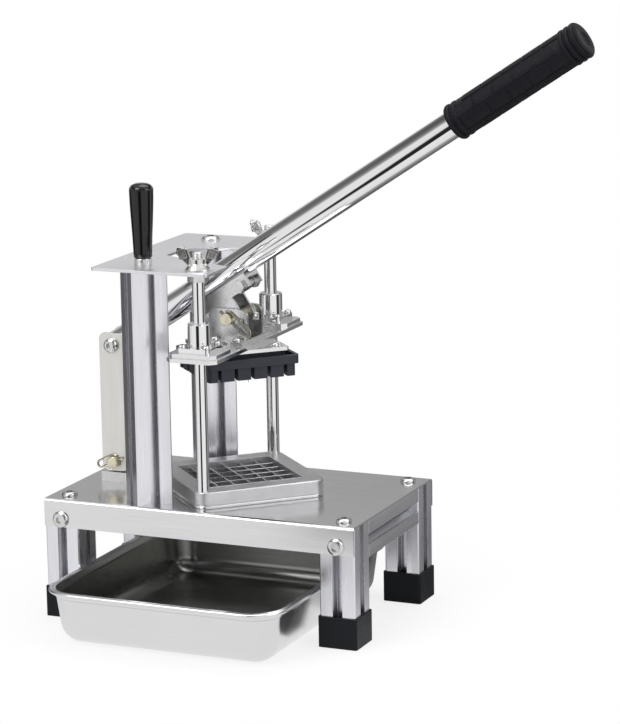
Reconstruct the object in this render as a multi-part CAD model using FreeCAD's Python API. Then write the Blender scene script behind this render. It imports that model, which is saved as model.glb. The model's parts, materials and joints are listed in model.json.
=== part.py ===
import FreeCAD, Part
import math
import os

# French fry cutter with a long hand lever, in millimetres.
# The origin is on the floor, midway between the four feet and straight below the pusher.
# +X points towards the lever's grip, +Y away from the tray's front, and +Z up.

V = FreeCAD.Vector
X_AXIS = V(1, 0, 0)
Y_AXIS = V(0, 1, 0)
Z_AXIS = V(0, 0, 1)

# Table: a folded sheet on four slotted aluminium legs
TABLE_WIDTH = 272.0
TABLE_DEPTH = 168.0
TABLE_HEIGHT = 99.0
SHEET = 1.5
SKIRT_HEIGHT = 23.0
SKIRT_BEND_RADIUS = 3.0
FOOT_SIDE = 33.0
FOOT_HEIGHT = 25.0
FOOT_FLOOR = 4.0
FOOT_EDGE_RADIUS = 2.0

# Slotted profile, the same for legs, rails and posts
PROFILE_SIDE = 30.0
PROFILE_SLOT = 8.2
PROFILE_LIP = 2.0
PROFILE_CAVITY = 16.5
PROFILE_CAVITY_WALL = 2.6
PROFILE_SLOT_DEPTH = 9.0
PROFILE_CORNER = 1.0
PROFILE_BORE_RADIUS = 3.4
PROFILE_SCREW_RADIUS = 3.3

# Press frame above the table
POST_X = -51.0
POST_Y = 62.0
POST_LENGTH = 190.5
TOP_PLATE_THICKNESS = 2.5
TOP_PLATE_BACK = 35.0
TOP_PLATE_FRONT = 16.0
TOP_PLATE_HALF_WIDTH = 86.0
NOTCH_X = -54.0
NOTCH_HALF_CLOSED = 15.5
NOTCH_HALF_OPEN = 47.5
TOP_PLATE_CORNER = 3.0
ROD_Y = 68.0
ROD_RADIUS = 5.0
ROD_TOP_STUD_RADIUS = 4.0
ROD_TOP_STUD_RISE = 14.0
ROD_BASE_STUD_RADIUS = 3.0
ROD_STUD_TAIL = 7.0
ROD_STUD_CHAMFER = 0.8
HANDLE_LENGTH = 59.5
HANDLE_BASE_RADIUS = 7.4
HANDLE_TOP_RADIUS = 9.7
HANDLE_SWELL = 1.6
HANDLE_CROWN = 5.0
FERRULE_RADIUS = 7.0
FERRULE_HEIGHT = 6.0
HANDLE_STUD_RADIUS = 3.3
FERRULE_CHAMFER = 0.8
HANDLE_STUD_LENGTH = 18.0

# Cutting die: a cast frame on a thin seat, with two crossing sets of blades
DIE_SIDE = 110.0
DIE_OPENING = 80.0
DIE_CORNER = 10.0
DIE_OPENING_CORNER = 3.0
DIE_SEAT_THICKNESS = 3.0
DIE_SEAT_CHAMFER = 0.8
DIE_HEIGHT = 11.0
DIE_TOP_ROUND = 1.2
BLADE_PITCH = 14.0
BLADES_PER_SET = 5
BLADE_THICKNESS = 1.0
BLADE_HEIGHT = 8.0
BLADE_HOLD = 3.0
BLADE_EDGE = 0.3
CHUTE_SIDE = 82.0

# Pusher and carriage, measured upwards from the die
DAYLIGHT = 84.2
TOOTH_HEIGHT = 10.3
TEETH_SIDE = 74.0
TOOTH_GAP = 3.0
PUSHER_SIDE = 79.0
PUSHER_CORNER = 4.0
PUSHER_SLAB = 3.5
PUSHER_RIM_RISE = 3.5
PUSHER_RIM_WALL = 3.0
BOSS_SIDE = 60.0
BOSS_RISE = 6.5
SPIKE_RADIUS = 1.2
SPIKE_LENGTH = 9.0
SPIKE_TIP_RADIUS = 0.2
PUSHER_PLATE_SIDE = 66.0
PUSHER_PLATE_THICKNESS = 3.0
PUSHER_PLATE_CORNER = 2.0
PUSHER_SCREW_RADIUS = 2.0
PUSHER_SCREW_GRIP = 5.0
PUSHER_SCREW_EDGE = 6.0
CARRIAGE_HALF_WIDTH = 22.0
CARRIAGE_HALF_LENGTH = 88.0
CARRIAGE_THICKNESS = 3.0
CARRIAGE_CORNER = 5.0
PAD_LENGTH = 34.0
PAD_WIDTH = 41.0
PAD_THICKNESS = 3.5
BUSH_RADIUS = 9.5
BUSH_FLANGE_SIDE = 28.0
BUSH_FLANGE_THICKNESS = 4.0
BUSH_FLANGE_CORNER = 3.0
BUSH_RIM_CHAMFER = 0.7
BUSH_TOP_RISE = 18.5
BUSH_BELOW_FLANGE = 8.0
BUSH_SCREW_RADIUS = 1.7
BUSH_SCREW_SPACING = 21.0

# Lever, and the rear link that its back end swings on
LEVER_ANGLE = 33.0
HITCH_X = -106.0
HITCH_PIN_RISE = 17.0
REAR_PIN_RISE = 115.0
LEVER_PIVOT_RISE = 19.5
PIN_RADIUS = 5.0
PIN_HEAD_RADIUS = 7.0
PIN_HEAD_HEIGHT = 3.5
PIN_END = 4.6
PIN_END_CHAMFER = 0.6
PIN_HEAD_ROUND = 1.0
REAR_BOLT_RADIUS = 4.0
TUBE_RADIUS = 11.0
TUBE_WALL = 1.5
TUBE_TAIL = 12.0
REAR_SLOT_AHEAD = 5.6
REAR_SLOT_SIDEWAYS = 1.9
GRIP_START = 353.0
GRIP_LENGTH = 125.0
GRIP_RADIUS = 14.5
GRIP_RING_RADIUS = 15.3
GRIP_RING_WIDTH = 4.0
GRIP_RING_GAP = 3.0
GRIP_END_WALL = 5.0
GRIP_RING_ROUND = 0.6
LUG_WIDTH = 24.0
LUG_WALL = 2.5
LUG_BACK = 78.0
LUG_FRONT = 136.0
LUG_DEPTH = 9.5
LUG_EAR_WIDTH = 22.0
LUG_BOLT_X = 127.0
LUG_BOLT_DROP = 5.5
LUG_BOLT_RADIUS = 3.0
LINK_WIDTH = 23.0
LINK_THICKNESS = 3.0
LINK_ABOVE_PIN = 10.0
LINK_BELOW_PIN = 7.5
LINK_CORNER = 5.0
HITCH_EAR_THICKNESS = 5.0
HITCH_EAR_GAP = 8.0
HITCH_EAR_WIDTH = 18.0
HITCH_BLOCK_LENGTH = 26.0
HITCH_BLOCK_HEIGHT = 8.0
HITCH_SCREW_RADIUS = 2.5
HITCH_SCREW_EDGE = 5.0
HITCH_SCREW_SPACING = 18.0
CLEVIS_WALL = 3.0
CLEVIS_LENGTH = 34.0
CLEVIS_ABOVE_PIN = 8.0
CLEVIS_FOOT = 11.0
CLEVIS_SCREW_RADIUS = 2.0
CLEVIS_SCREW_SPACING = 20.0
CLEVIS_CORNER = 7.0
CLEVIS_WINDOW = 6.0
CLEVIS_WINDOW_X = 11.5
CLEVIS_WINDOW_DROP = 5.0
CLIP_WIRE = 1.8
CLIP_LEG_END = 4.0
HITCH_CLIP_ANGLE = 205.0
HITCH_CLIP_REACH = 12.0
PIVOT_CLIP_ANGLE = -40.0
PIVOT_CLIP_REACH = 20.0

# Tray that catches the fries
TRAY_CENTRE_X = -1.5
TRAY_CENTRE_Y = -37.0
TRAY_WIDTH = 206.0
TRAY_DEPTH = 246.0
TRAY_HEIGHT = 44.5
TRAY_LIP = 5.0
TRAY_BEAD = 3.0
TRAY_WALL = 1.0
TRAY_TAPER = 8.0
TRAY_CORNER = 24.0
TRAY_BOTTOM_ROUND = 14.0

# Clearances between pieces
RUNNING = 0.05
HOLE_PLAY = 0.3
BLADE_PLAY = 0.05
SIDE_PLAY = 0.4
LINK_SIDE_PLAY = 1.5

# Heads, nuts and wing nuts, each with the radius or half width that a spanner meets
LEG_SCREW_HEAD = (6.5, 3.0)
RAIL_BOLT_HEAD = (7.0, 3.0)
POST_SCREW_HEAD = (6.5, 4.0)
POST_TOP_SCREW_HEAD = (8.0, 3.5)
HITCH_SCREW_HEAD = (5.0, 3.0)
PUSHER_SCREW_HEAD = (3.5, 2.2)
BUSH_SCREW_HEAD = (3.0, 2.5)
CLEVIS_SCREW_HEAD = (3.6, 2.6)
REAR_BOLT_HEAD = (6.2, 4.5)
REAR_NUT = (6.5, 5.5)
LUG_BOLT_HEAD = (5.0, 4.0)
BOLT_PAST_SEAT = 7.0
ROD_NUT = (7.5, 6.5)
BASE_NUT = (5.0, 5.0)
LEG_SCREW_GRIP = 9.0
POST_SCREW_GRIP = 18.0
BOLT_INTO_RAIL = 14.0
WING_BASE_RADIUS = 10.5
WING_BASE_RIM = 1.2
WING_NECK_RADIUS = 7.0
WING_HUB_HEIGHT = 9.0
WING_SPAN = 17.0
WING_TOP = 18.5
WING_THICKNESS = 5.0
WING_TIP_ROUND = 1.2
WING_TURN = 20.0

# Levels and places that follow from the sizes above
SHEET_BOTTOM = TABLE_HEIGHT - SHEET
LEG_X = TABLE_WIDTH / 2 - PROFILE_SIDE / 2
LEG_Y = TABLE_DEPTH / 2 - SHEET - PROFILE_SIDE / 2
RAIL_Z = SHEET_BOTTOM - PROFILE_SIDE / 2
POST_TOP = TABLE_HEIGHT + POST_LENGTH
PLATE_TOP = POST_TOP + TOP_PLATE_THICKNESS
PLATE_BACK_X = POST_X - TOP_PLATE_BACK
DIE_BOTTOM = TABLE_HEIGHT + DIE_SEAT_THICKNESS
DIE_TOP = DIE_BOTTOM + DIE_HEIGHT
TEETH_BOTTOM = DIE_TOP + DAYLIGHT
SLAB_BOTTOM = TEETH_BOTTOM + TOOTH_HEIGHT
SLAB_TOP = SLAB_BOTTOM + PUSHER_SLAB
PUSHER_PLATE_BOTTOM = SLAB_TOP + BOSS_RISE
CARRIAGE_BOTTOM = PUSHER_PLATE_BOTTOM + PUSHER_PLATE_THICKNESS
CARRIAGE_TOP = CARRIAGE_BOTTOM + CARRIAGE_THICKNESS
PAD_TOP = CARRIAGE_TOP + PAD_THICKNESS
FLANGE_TOP = PAD_TOP + BUSH_FLANGE_THICKNESS
BUSH_TOP = FLANGE_TOP + BUSH_TOP_RISE
PIVOT = V(0, 0, CARRIAGE_TOP + LEVER_PIVOT_RISE)
HITCH_PIN = V(HITCH_X, 0, TABLE_HEIGHT + HITCH_PIN_RISE)
REAR_PIN = V(HITCH_X, 0, TABLE_HEIGHT + REAR_PIN_RISE)
TUBE_END = GRIP_START + GRIP_LENGTH - GRIP_END_WALL
LINK_INNER_Y = TUBE_RADIUS + LINK_SIDE_PLAY
LINK_OUTER_Y = LINK_INNER_Y + LINK_THICKNESS
CLEVIS_INNER_Y = LUG_WIDTH / 2 + SIDE_PLAY
CLEVIS_OUTER_Y = CLEVIS_INNER_Y + CLEVIS_WALL
EAR_OUTER_Y = HITCH_EAR_GAP / 2 + HITCH_EAR_THICKNESS

# Places that repeat
CORNERS = {
    "front_left": (-LEG_X, -LEG_Y),
    "front_right": (LEG_X, -LEG_Y),
    "back_left": (-LEG_X, LEG_Y),
    "back_right": (LEG_X, LEG_Y),
}
SIDES = {"near": -1, "far": 1}


def disc(radius, base, length, axis=Z_AXIS):
    """A round bar of this length that starts at base and runs along axis."""
    return Part.makeCylinder(radius, length, base, axis)


def block(size_x, size_y, size_z, centre_x, centre_y, bottom):
    """A box given by its size, its centre in plan and the level of its underside."""
    return Part.makeBox(size_x, size_y, size_z, V(centre_x - size_x / 2, centre_y - size_y / 2, bottom))


def vertical_edges(shape):
    """The straight edges of a shape that run along Z."""
    found = []
    for edge in shape.Edges:
        if isinstance(edge.Curve, Part.Line) and abs(edge.tangentAt(edge.FirstParameter).z) > 0.999:
            found.append(edge)
    return found


def edges_at_level(shape, level):
    """The edges of a shape that lie flat at one level."""
    boxes = [(edge, edge.BoundBox) for edge in shape.Edges]
    return [edge for edge, box in boxes if max(abs(box.ZMin - level), abs(box.ZMax - level)) < 1e-4]


def rounded_block(size_x, size_y, size_z, bottom, radius, centre_x=0.0, centre_y=0.0):
    """A box with rounded upright corners."""
    body = block(size_x, size_y, size_z, centre_x, centre_y, bottom)
    return body.makeFillet(radius, vertical_edges(body))


def diamond(shape):
    """Turns a shape by 45 degrees about the press axis."""
    turned = shape.copy()
    turned.rotate(V(0, 0, 0), Z_AXIS, 45)
    return turned


def hexagon(half_width, base, height, axis=Z_AXIS):
    """A hexagonal nut or head with this half width across its flats."""
    points = []
    for corner in range(7):
        angle = math.radians(60 * corner + 30)
        reach = half_width / math.cos(math.radians(30))
        points.append(V(reach * math.cos(angle), reach * math.sin(angle), 0))
    prism = Part.Face(Part.makePolygon(points)).extrude(Z_AXIS * height)
    prism.Placement = FreeCAD.Placement(base, FreeCAD.Rotation(Z_AXIS, axis))
    return prism


def pan_head(radius, height, base, axis):
    """A low domed screw head whose flat face sits at base."""
    rim = height * 0.35
    top = radius * 0.55
    outline = [V(0, 0, 0), V(radius, 0, 0), V(radius, 0, rim)]
    dome = Part.Arc(V(radius, 0, rim), V(radius * 0.86, 0, height * 0.78), V(top, 0, height)).toShape()
    edges = [Part.makeLine(outline[0], outline[1]), Part.makeLine(outline[1], outline[2]), dome]
    edges += [Part.makeLine(V(top, 0, height), V(0, 0, height)), Part.makeLine(V(0, 0, height), V(0, 0, 0))]
    head = Part.Face(Part.Wire(edges)).revolve(V(0, 0, 0), Z_AXIS, 360)
    socket = hexagon(radius * 0.4, V(0, 0, height * 0.4), height)
    head = head.cut(socket)
    head.Placement = FreeCAD.Placement(base, FreeCAD.Rotation(Z_AXIS, axis))
    return head


def profile_bar(length):
    """An upright bar of slotted profile standing on the origin."""
    half = PROFILE_SIDE / 2
    roof = half - PROFILE_LIP
    floor = half - PROFILE_SLOT_DEPTH
    shoulder = roof - PROFILE_CAVITY_WALL
    floor_half = PROFILE_CAVITY / 2 - (shoulder - floor)
    one_side = [
        (-half + PROFILE_CORNER, half),
        (-PROFILE_SLOT / 2, half),
        (-PROFILE_SLOT / 2, roof),
        (-PROFILE_CAVITY / 2, roof),
        (-PROFILE_CAVITY / 2, shoulder),
        (-floor_half, floor),
        (floor_half, floor),
        (PROFILE_CAVITY / 2, shoulder),
        (PROFILE_CAVITY / 2, roof),
        (PROFILE_SLOT / 2, roof),
        (PROFILE_SLOT / 2, half),
        (half - PROFILE_CORNER, half),
    ]
    points = []
    for quarter in range(4):
        turn = FreeCAD.Rotation(Z_AXIS, -90 * quarter)
        points += [turn.multVec(V(x, y, 0)) for x, y in one_side]
    points.append(points[0])
    bar = Part.Face(Part.makePolygon(points)).extrude(Z_AXIS * length)
    return bar.cut(disc(PROFILE_BORE_RADIUS, V(0, 0, 0), length))


def wing_nut(seat):
    """A wing nut standing on its seat, its two wings leaning outwards."""
    neck = WING_NECK_RADIUS
    hub = WING_HUB_HEIGHT
    outline = [
        V(0, 0, 0),
        V(WING_BASE_RADIUS, 0, 0),
        V(WING_BASE_RADIUS, 0, WING_BASE_RIM),
        V(neck, 0, hub * 0.6),
        V(neck, 0, hub),
        V(0, 0, hub),
    ]
    body = Part.Face(Part.makePolygon(outline + [outline[0]])).revolve(V(0, 0, 0), Z_AXIS, 360)
    wing_outline = [
        V(neck * 0.5, 0, hub * 0.35),
        V(neck, 0, hub * 0.35),
        V(WING_SPAN, 0, WING_TOP * 0.72),
        V(WING_SPAN * 0.94, 0, WING_TOP),
        V(neck * 1.15, 0, WING_TOP * 0.9),
        V(neck * 0.8, 0, hub),
    ]
    wing = Part.Face(Part.makePolygon(wing_outline + [wing_outline[0]])).extrude(Y_AXIS * WING_THICKNESS)
    wing.translate(V(0, -WING_THICKNESS / 2, 0))
    across = [e for e in wing.Edges if e.BoundBox.YLength > WING_THICKNESS * 0.9]
    tips = [e for e in across if e.BoundBox.ZMin > hub * 0.9 and e.BoundBox.XMin > neck * 1.05]
    wing = wing.makeFillet(WING_TIP_ROUND, tips)
    mirrored = wing.mirror(V(0, 0, 0), X_AXIS)
    nut = body.fuse([wing, mirrored]).removeSplitter()
    nut = nut.cut(disc(ROD_TOP_STUD_RADIUS + RUNNING, V(0, 0, -1), WING_TOP + 2))
    nut.rotate(V(0, 0, 0), Z_AXIS, WING_TURN)
    nut.translate(seat)
    return nut


def r_clip(centre, direction_angle, reach, turn):
    """A spring clip in an XZ plane: one leg goes through the pin, the other lies over it."""
    over = PIN_RADIUS + CLIP_WIRE / 2 + RUNNING
    loop = over / 2
    tail = over * math.cos(math.radians(40))
    rise = over * math.sin(math.radians(40))
    straight = Part.makeLine(V(-PIN_RADIUS - CLIP_LEG_END, 0, 0), V(reach, 0, 0))
    bend = Part.Arc(V(reach, 0, 0), V(reach + loop, 0, loop), V(reach, 0, over)).toShape()
    back = Part.makeLine(V(reach, 0, over), V(0, 0, over))
    middle = math.radians(115)
    half_way = V(over * math.cos(middle), 0, over * math.sin(middle))
    hug = Part.Arc(V(0, 0, over), half_way, V(-tail, 0, rise)).toShape()
    path = Part.Wire([straight, bend, back, hug])
    ring = Part.Wire([Part.makeCircle(CLIP_WIRE / 2, V(-PIN_RADIUS - CLIP_LEG_END, 0, 0), X_AXIS)])
    wire = path.makePipeShell([ring], True, False)
    wire.rotate(V(0, 0, 0), X_AXIS, turn)
    wire.rotate(V(0, 0, 0), Y_AXIS, -direction_angle)
    wire.translate(centre)
    return wire


def clip_hole(centre, direction_angle):
    """The cross hole that a spring clip's straight leg goes through."""
    along = FreeCAD.Rotation(Y_AXIS, -direction_angle).multVec(X_AXIS)
    start = centre - along * (PIN_RADIUS + 1)
    return disc(CLIP_WIRE / 2 + HOLE_PLAY, start, 2 * PIN_RADIUS + 2, along)


def leg(x, y):
    """One leg, from the foot's floor to the underside of the table sheet."""
    bar = profile_bar(SHEET_BOTTOM - FOOT_FLOOR)
    bar.translate(V(x, y, FOOT_FLOOR))
    outward = math.copysign(1, y)
    start = V(x, y - outward * PROFILE_SIDE, RAIL_Z)
    tunnel = disc(PROFILE_BORE_RADIUS, start, 2 * PROFILE_SIDE, Y_AXIS * outward)
    return bar.cut(tunnel)


def foot(x, y):
    """A moulded cap that the leg stands in."""
    cap = block(FOOT_SIDE, FOOT_SIDE, FOOT_HEIGHT, x, y, 0)
    cap = cap.makeFillet(FOOT_EDGE_RADIUS, vertical_edges(cap))
    pocket = block(PROFILE_SIDE, PROFILE_SIDE, FOOT_HEIGHT, x, y, FOOT_FLOOR)
    return cap.cut(pocket)


def rail(side):
    """A short side rail between a front leg and a back leg."""
    length = 2 * LEG_Y - PROFILE_SIDE
    bar = profile_bar(length)
    bar.rotate(V(0, 0, 0), X_AXIS, -90)
    bar.translate(V(side * LEG_X, -length / 2, RAIL_Z))
    return bar


def table_holes():
    """Every hole that fasteners need in the table sheet."""
    cuts = [disc(PROFILE_BORE_RADIUS, V(x, y, SHEET_BOTTOM - 1), SHEET + 2) for x, y in CORNERS.values()]
    for side in SIDES.values():
        cuts.append(disc(PROFILE_BORE_RADIUS, V(POST_X, side * POST_Y, SHEET_BOTTOM - 1), SHEET + 2))
        cuts.append(disc(ROD_BASE_STUD_RADIUS + HOLE_PLAY, V(0, side * ROD_Y, SHEET_BOTTOM - 1), SHEET + 2))
        for x in (-LEG_X, LEG_X):
            start = V(x, side * (TABLE_DEPTH / 2 + 1), RAIL_Z)
            cuts.append(disc(PROFILE_BORE_RADIUS, start, SHEET + 2, Y_AXIS * -side))
    for x, y in hitch_screw_places():
        cuts.append(disc(HITCH_SCREW_RADIUS + HOLE_PLAY, V(x, y, SHEET_BOTTOM - 1), SHEET + 2))
    return cuts


def table_plate():
    """The folded top sheet with its front and back skirts and the square chute."""
    outer = block(TABLE_WIDTH, TABLE_DEPTH, SKIRT_HEIGHT, 0, 0, TABLE_HEIGHT - SKIRT_HEIGHT)
    outer = outer.makeFillet(SKIRT_BEND_RADIUS, long_edges(outer, TABLE_HEIGHT))
    inner = block(TABLE_WIDTH, TABLE_DEPTH - 2 * SHEET, SKIRT_HEIGHT, 0, 0, SHEET_BOTTOM - SKIRT_HEIGHT)
    inner = inner.makeFillet(SKIRT_BEND_RADIUS - SHEET, long_edges(inner, SHEET_BOTTOM))
    chute = diamond(rounded_block(CHUTE_SIDE, CHUTE_SIDE, SHEET + 2, SHEET_BOTTOM - 1, DIE_OPENING_CORNER))
    return outer.cut(inner).cut([chute] + table_holes())


def long_edges(shape, level):
    """The edges along X of a box at one level."""
    return [e for e in edges_at_level(shape, level) if e.BoundBox.XLength > 1]


def hitch_screw_places():
    """Where the two screws of the hitch block stand, clear of the rail beneath."""
    x = HITCH_X + HITCH_BLOCK_LENGTH / 2 - HITCH_SCREW_EDGE
    return [(x, side * HITCH_SCREW_SPACING / 2) for side in SIDES.values()]


def leg_screws():
    """Screws from above into the legs' bores."""
    radius, height = LEG_SCREW_HEAD
    pieces = []
    for x, y in CORNERS.values():
        head = pan_head(radius, height, V(x, y, TABLE_HEIGHT), Z_AXIS)
        shank = disc(PROFILE_SCREW_RADIUS, V(x, y, TABLE_HEIGHT - LEG_SCREW_GRIP), LEG_SCREW_GRIP)
        pieces.append(head.fuse(shank).removeSplitter())
    return Part.makeCompound(pieces)


def rail_bolts():
    """Washer-head bolts through skirt and leg into the ends of the rails."""
    radius, height = RAIL_BOLT_HEAD
    length = SHEET + PROFILE_SIDE + BOLT_INTO_RAIL
    pieces = []
    for x in (-LEG_X, LEG_X):
        for side in SIDES.values():
            face = V(x, side * TABLE_DEPTH / 2, RAIL_Z)
            head = pan_head(radius, height, face, Y_AXIS * side)
            shank = disc(PROFILE_SCREW_RADIUS, face, length, Y_AXIS * -side)
            pieces.append(head.fuse(shank).removeSplitter())
    return Part.makeCompound(pieces)


def post(side):
    """A post turned corner-on to the table's edges."""
    bar = diamond(profile_bar(POST_LENGTH))
    bar.translate(V(POST_X, side * POST_Y, TABLE_HEIGHT))
    return bar


def post_screws():
    """Screws from under the table into the posts' bores."""
    radius, height = POST_SCREW_HEAD
    pieces = []
    for side in SIDES.values():
        place = V(POST_X, side * POST_Y, SHEET_BOTTOM)
        head = pan_head(radius, height, place, Z_AXIS * -1)
        shank = disc(PROFILE_SCREW_RADIUS, place, SHEET + POST_SCREW_GRIP)
        pieces.append(head.fuse(shank).removeSplitter())
    return Part.makeCompound(pieces)


def top_plate():
    """The plate that ties posts and rods together, notched where the lever passes."""
    half = TOP_PLATE_HALF_WIDTH
    outline = [
        V(PLATE_BACK_X, -half, POST_TOP),
        V(TOP_PLATE_FRONT, -half, POST_TOP),
        V(TOP_PLATE_FRONT, -NOTCH_HALF_OPEN, POST_TOP),
        V(NOTCH_X, -NOTCH_HALF_CLOSED, POST_TOP),
        V(NOTCH_X, NOTCH_HALF_CLOSED, POST_TOP),
        V(TOP_PLATE_FRONT, NOTCH_HALF_OPEN, POST_TOP),
        V(TOP_PLATE_FRONT, half, POST_TOP),
        V(PLATE_BACK_X, half, POST_TOP),
    ]
    plate = Part.Face(Part.makePolygon(outline + [outline[0]])).extrude(Z_AXIS * TOP_PLATE_THICKNESS)
    plate = plate.makeFillet(TOP_PLATE_CORNER, vertical_edges(plate))
    cuts = []
    low = POST_TOP - 1
    through = TOP_PLATE_THICKNESS + 2
    for side in SIDES.values():
        cuts.append(disc(PROFILE_BORE_RADIUS, V(POST_X, side * POST_Y, low), through))
        cuts.append(disc(ROD_TOP_STUD_RADIUS + HOLE_PLAY, V(0, side * ROD_Y, low), through))
    return plate.cut(cuts)


def post_top_screw():
    """The domed screw that holds the top plate to the far post."""
    place = V(POST_X, POST_Y, PLATE_TOP)
    radius, height = POST_TOP_SCREW_HEAD
    head = pan_head(radius, height, place, Z_AXIS)
    shank = disc(PROFILE_SCREW_RADIUS, place - Z_AXIS * POST_SCREW_GRIP, POST_SCREW_GRIP)
    return head.fuse(shank).removeSplitter()


def side_handle_stud():
    """The plated ferrule under the side handle, with its stud into the near post."""
    place = V(POST_X, -POST_Y, PLATE_TOP)
    ferrule = disc(FERRULE_RADIUS, place, FERRULE_HEIGHT)
    ferrule = ferrule.makeChamfer(FERRULE_CHAMFER, ferrule.Edges[:1])
    below = disc(HANDLE_STUD_RADIUS, place - Z_AXIS * HANDLE_STUD_LENGTH, HANDLE_STUD_LENGTH)
    above = disc(HANDLE_STUD_RADIUS, place, FERRULE_HEIGHT + HANDLE_LENGTH / 2)
    return ferrule.fuse([below, above]).removeSplitter()


def side_handle():
    """A tapered knob, widest near its rounded top."""
    low = PLATE_TOP + FERRULE_HEIGHT
    shoulder = low + HANDLE_LENGTH - HANDLE_CROWN
    top = low + HANDLE_LENGTH
    base = V(HANDLE_BASE_RADIUS, 0, low)
    waist = V(HANDLE_BASE_RADIUS + HANDLE_SWELL, 0, low + HANDLE_LENGTH * 0.5)
    side = Part.Arc(base, waist, V(HANDLE_TOP_RADIUS, 0, shoulder))
    summit = V(HANDLE_TOP_RADIUS * 0.3, 0, top)
    crown_middle = V(HANDLE_TOP_RADIUS * 0.82, 0, top - HANDLE_CROWN * 0.32)
    crown = Part.Arc(V(HANDLE_TOP_RADIUS, 0, shoulder), crown_middle, summit)
    edges = [Part.makeLine(V(0, 0, low), base), side.toShape(), crown.toShape()]
    edges += [Part.makeLine(summit, V(0, 0, top)), Part.makeLine(V(0, 0, top), V(0, 0, low))]
    knob = Part.Face(Part.Wire(edges)).revolve(V(0, 0, 0), Z_AXIS, 360)
    knob = knob.cut(disc(HANDLE_STUD_RADIUS, V(0, 0, low), HANDLE_LENGTH / 2))
    knob.translate(V(POST_X, -POST_Y, 0))
    return knob


def rod_nut_bottom():
    """The level of the nuts under the top plate."""
    return POST_TOP - ROD_NUT[1]


def guide_rod(side):
    """A ground rod with a stud at each end, standing on the die frame's corner."""
    place = V(0, side * ROD_Y, 0)
    shaft = disc(ROD_RADIUS, place + Z_AXIS * DIE_TOP, rod_nut_bottom() - DIE_TOP)
    stud_top = PLATE_TOP + ROD_TOP_STUD_RISE
    upper = disc(ROD_TOP_STUD_RADIUS, place + Z_AXIS * rod_nut_bottom(), stud_top - rod_nut_bottom())
    upper = upper.makeChamfer(ROD_STUD_CHAMFER, edges_at_level(upper, stud_top))
    tail = SHEET_BOTTOM - ROD_STUD_TAIL
    lower = disc(ROD_BASE_STUD_RADIUS, place + Z_AXIS * tail, DIE_TOP - tail)
    return shaft.fuse([upper, lower]).removeSplitter()


def rod_top_nuts():
    """Collar nuts that the top plate rests on at the rods."""
    half_width, height = ROD_NUT
    pieces = []
    for side in SIDES.values():
        place = V(0, side * ROD_Y, rod_nut_bottom())
        bore = disc(ROD_TOP_STUD_RADIUS, place, height)
        pieces.append(hexagon(half_width, place, height).cut(bore))
    return Part.makeCompound(pieces)


def base_nuts(places, stud_radius):
    """Nuts under the table sheet on studs at these places."""
    half_width, height = BASE_NUT
    pieces = []
    for place in places:
        low = V(place.x, place.y, SHEET_BOTTOM - height)
        pieces.append(hexagon(half_width, low, height).cut(disc(stud_radius, low, height)))
    return Part.makeCompound(pieces)


def die_stud_cuts(bottom, height):
    """Holes through the die for the rods' studs, which clamp it to the table."""
    bore = ROD_BASE_STUD_RADIUS + HOLE_PLAY
    return [disc(bore, V(0, side * ROD_Y, bottom - 1), height + 2) for side in SIDES.values()]


def die_seat():
    """The thin bright plate between the table and the die frame."""
    plate = rounded_block(DIE_SIDE, DIE_SIDE, DIE_SEAT_THICKNESS, TABLE_HEIGHT, DIE_CORNER)
    rims = edges_at_level(plate, TABLE_HEIGHT) + edges_at_level(plate, DIE_BOTTOM)
    plate = plate.makeChamfer(DIE_SEAT_CHAMFER, rims)
    through = DIE_SEAT_THICKNESS + 2
    hole = rounded_block(DIE_OPENING, DIE_OPENING, through, TABLE_HEIGHT - 1, DIE_OPENING_CORNER)
    return diamond(plate.cut(hole)).cut(die_stud_cuts(TABLE_HEIGHT, DIE_SEAT_THICKNESS))


def blade_offsets():
    """Distances of one set's blades from the middle of the die."""
    middle = (BLADES_PER_SET - 1) / 2
    return [(index - middle) * BLADE_PITCH for index in range(BLADES_PER_SET)]


def blade_pockets():
    """The slots in the die frame that hold the blades' ends."""
    length = DIE_OPENING + 2 * BLADE_HOLD
    width = BLADE_THICKNESS + 2 * BLADE_PLAY
    cuts = []
    for offset in blade_offsets():
        cuts.append(block(length, width, BLADE_HEIGHT, 0, offset, DIE_BOTTOM))
        cuts.append(block(width, length, BLADE_HEIGHT, offset, 0, DIE_BOTTOM))
    return cuts


def die_frame():
    """The cast frame round the blades."""
    frame = rounded_block(DIE_SIDE, DIE_SIDE, DIE_HEIGHT, DIE_BOTTOM, DIE_CORNER)
    frame = frame.makeFillet(DIE_TOP_ROUND, edges_at_level(frame, DIE_TOP))
    hole = rounded_block(DIE_OPENING, DIE_OPENING, DIE_HEIGHT + 2, DIE_BOTTOM - 1, DIE_OPENING_CORNER)
    frame = frame.cut([hole] + blade_pockets())
    return diamond(frame).cut(die_stud_cuts(DIE_BOTTOM, DIE_HEIGHT))


def blade_set(crosswise):
    """Five parallel blades, half-lapped where the other set crosses them."""
    length = DIE_OPENING + 2 * (BLADE_HOLD - BLADE_PLAY)
    half_height = BLADE_HEIGHT / 2
    lap = BLADE_THICKNESS + 2 * BLADE_PLAY
    notch_bottom = DIE_BOTTOM if crosswise else DIE_BOTTOM + half_height
    pieces = []
    for offset in blade_offsets():
        blade = block(length, BLADE_THICKNESS, BLADE_HEIGHT, 0, offset, DIE_BOTTOM)
        edges = [e for e in edges_at_level(blade, DIE_BOTTOM + BLADE_HEIGHT) if e.BoundBox.XLength > 1]
        blade = blade.makeChamfer(BLADE_EDGE, edges)
        laps = [block(lap, lap * 2, half_height, cross, offset, notch_bottom) for cross in blade_offsets()]
        pieces.append(blade.cut(laps))
    blades = diamond(Part.makeCompound(pieces))
    if crosswise:
        blades.rotate(V(0, 0, 0), Z_AXIS, 90)
    return blades


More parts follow.
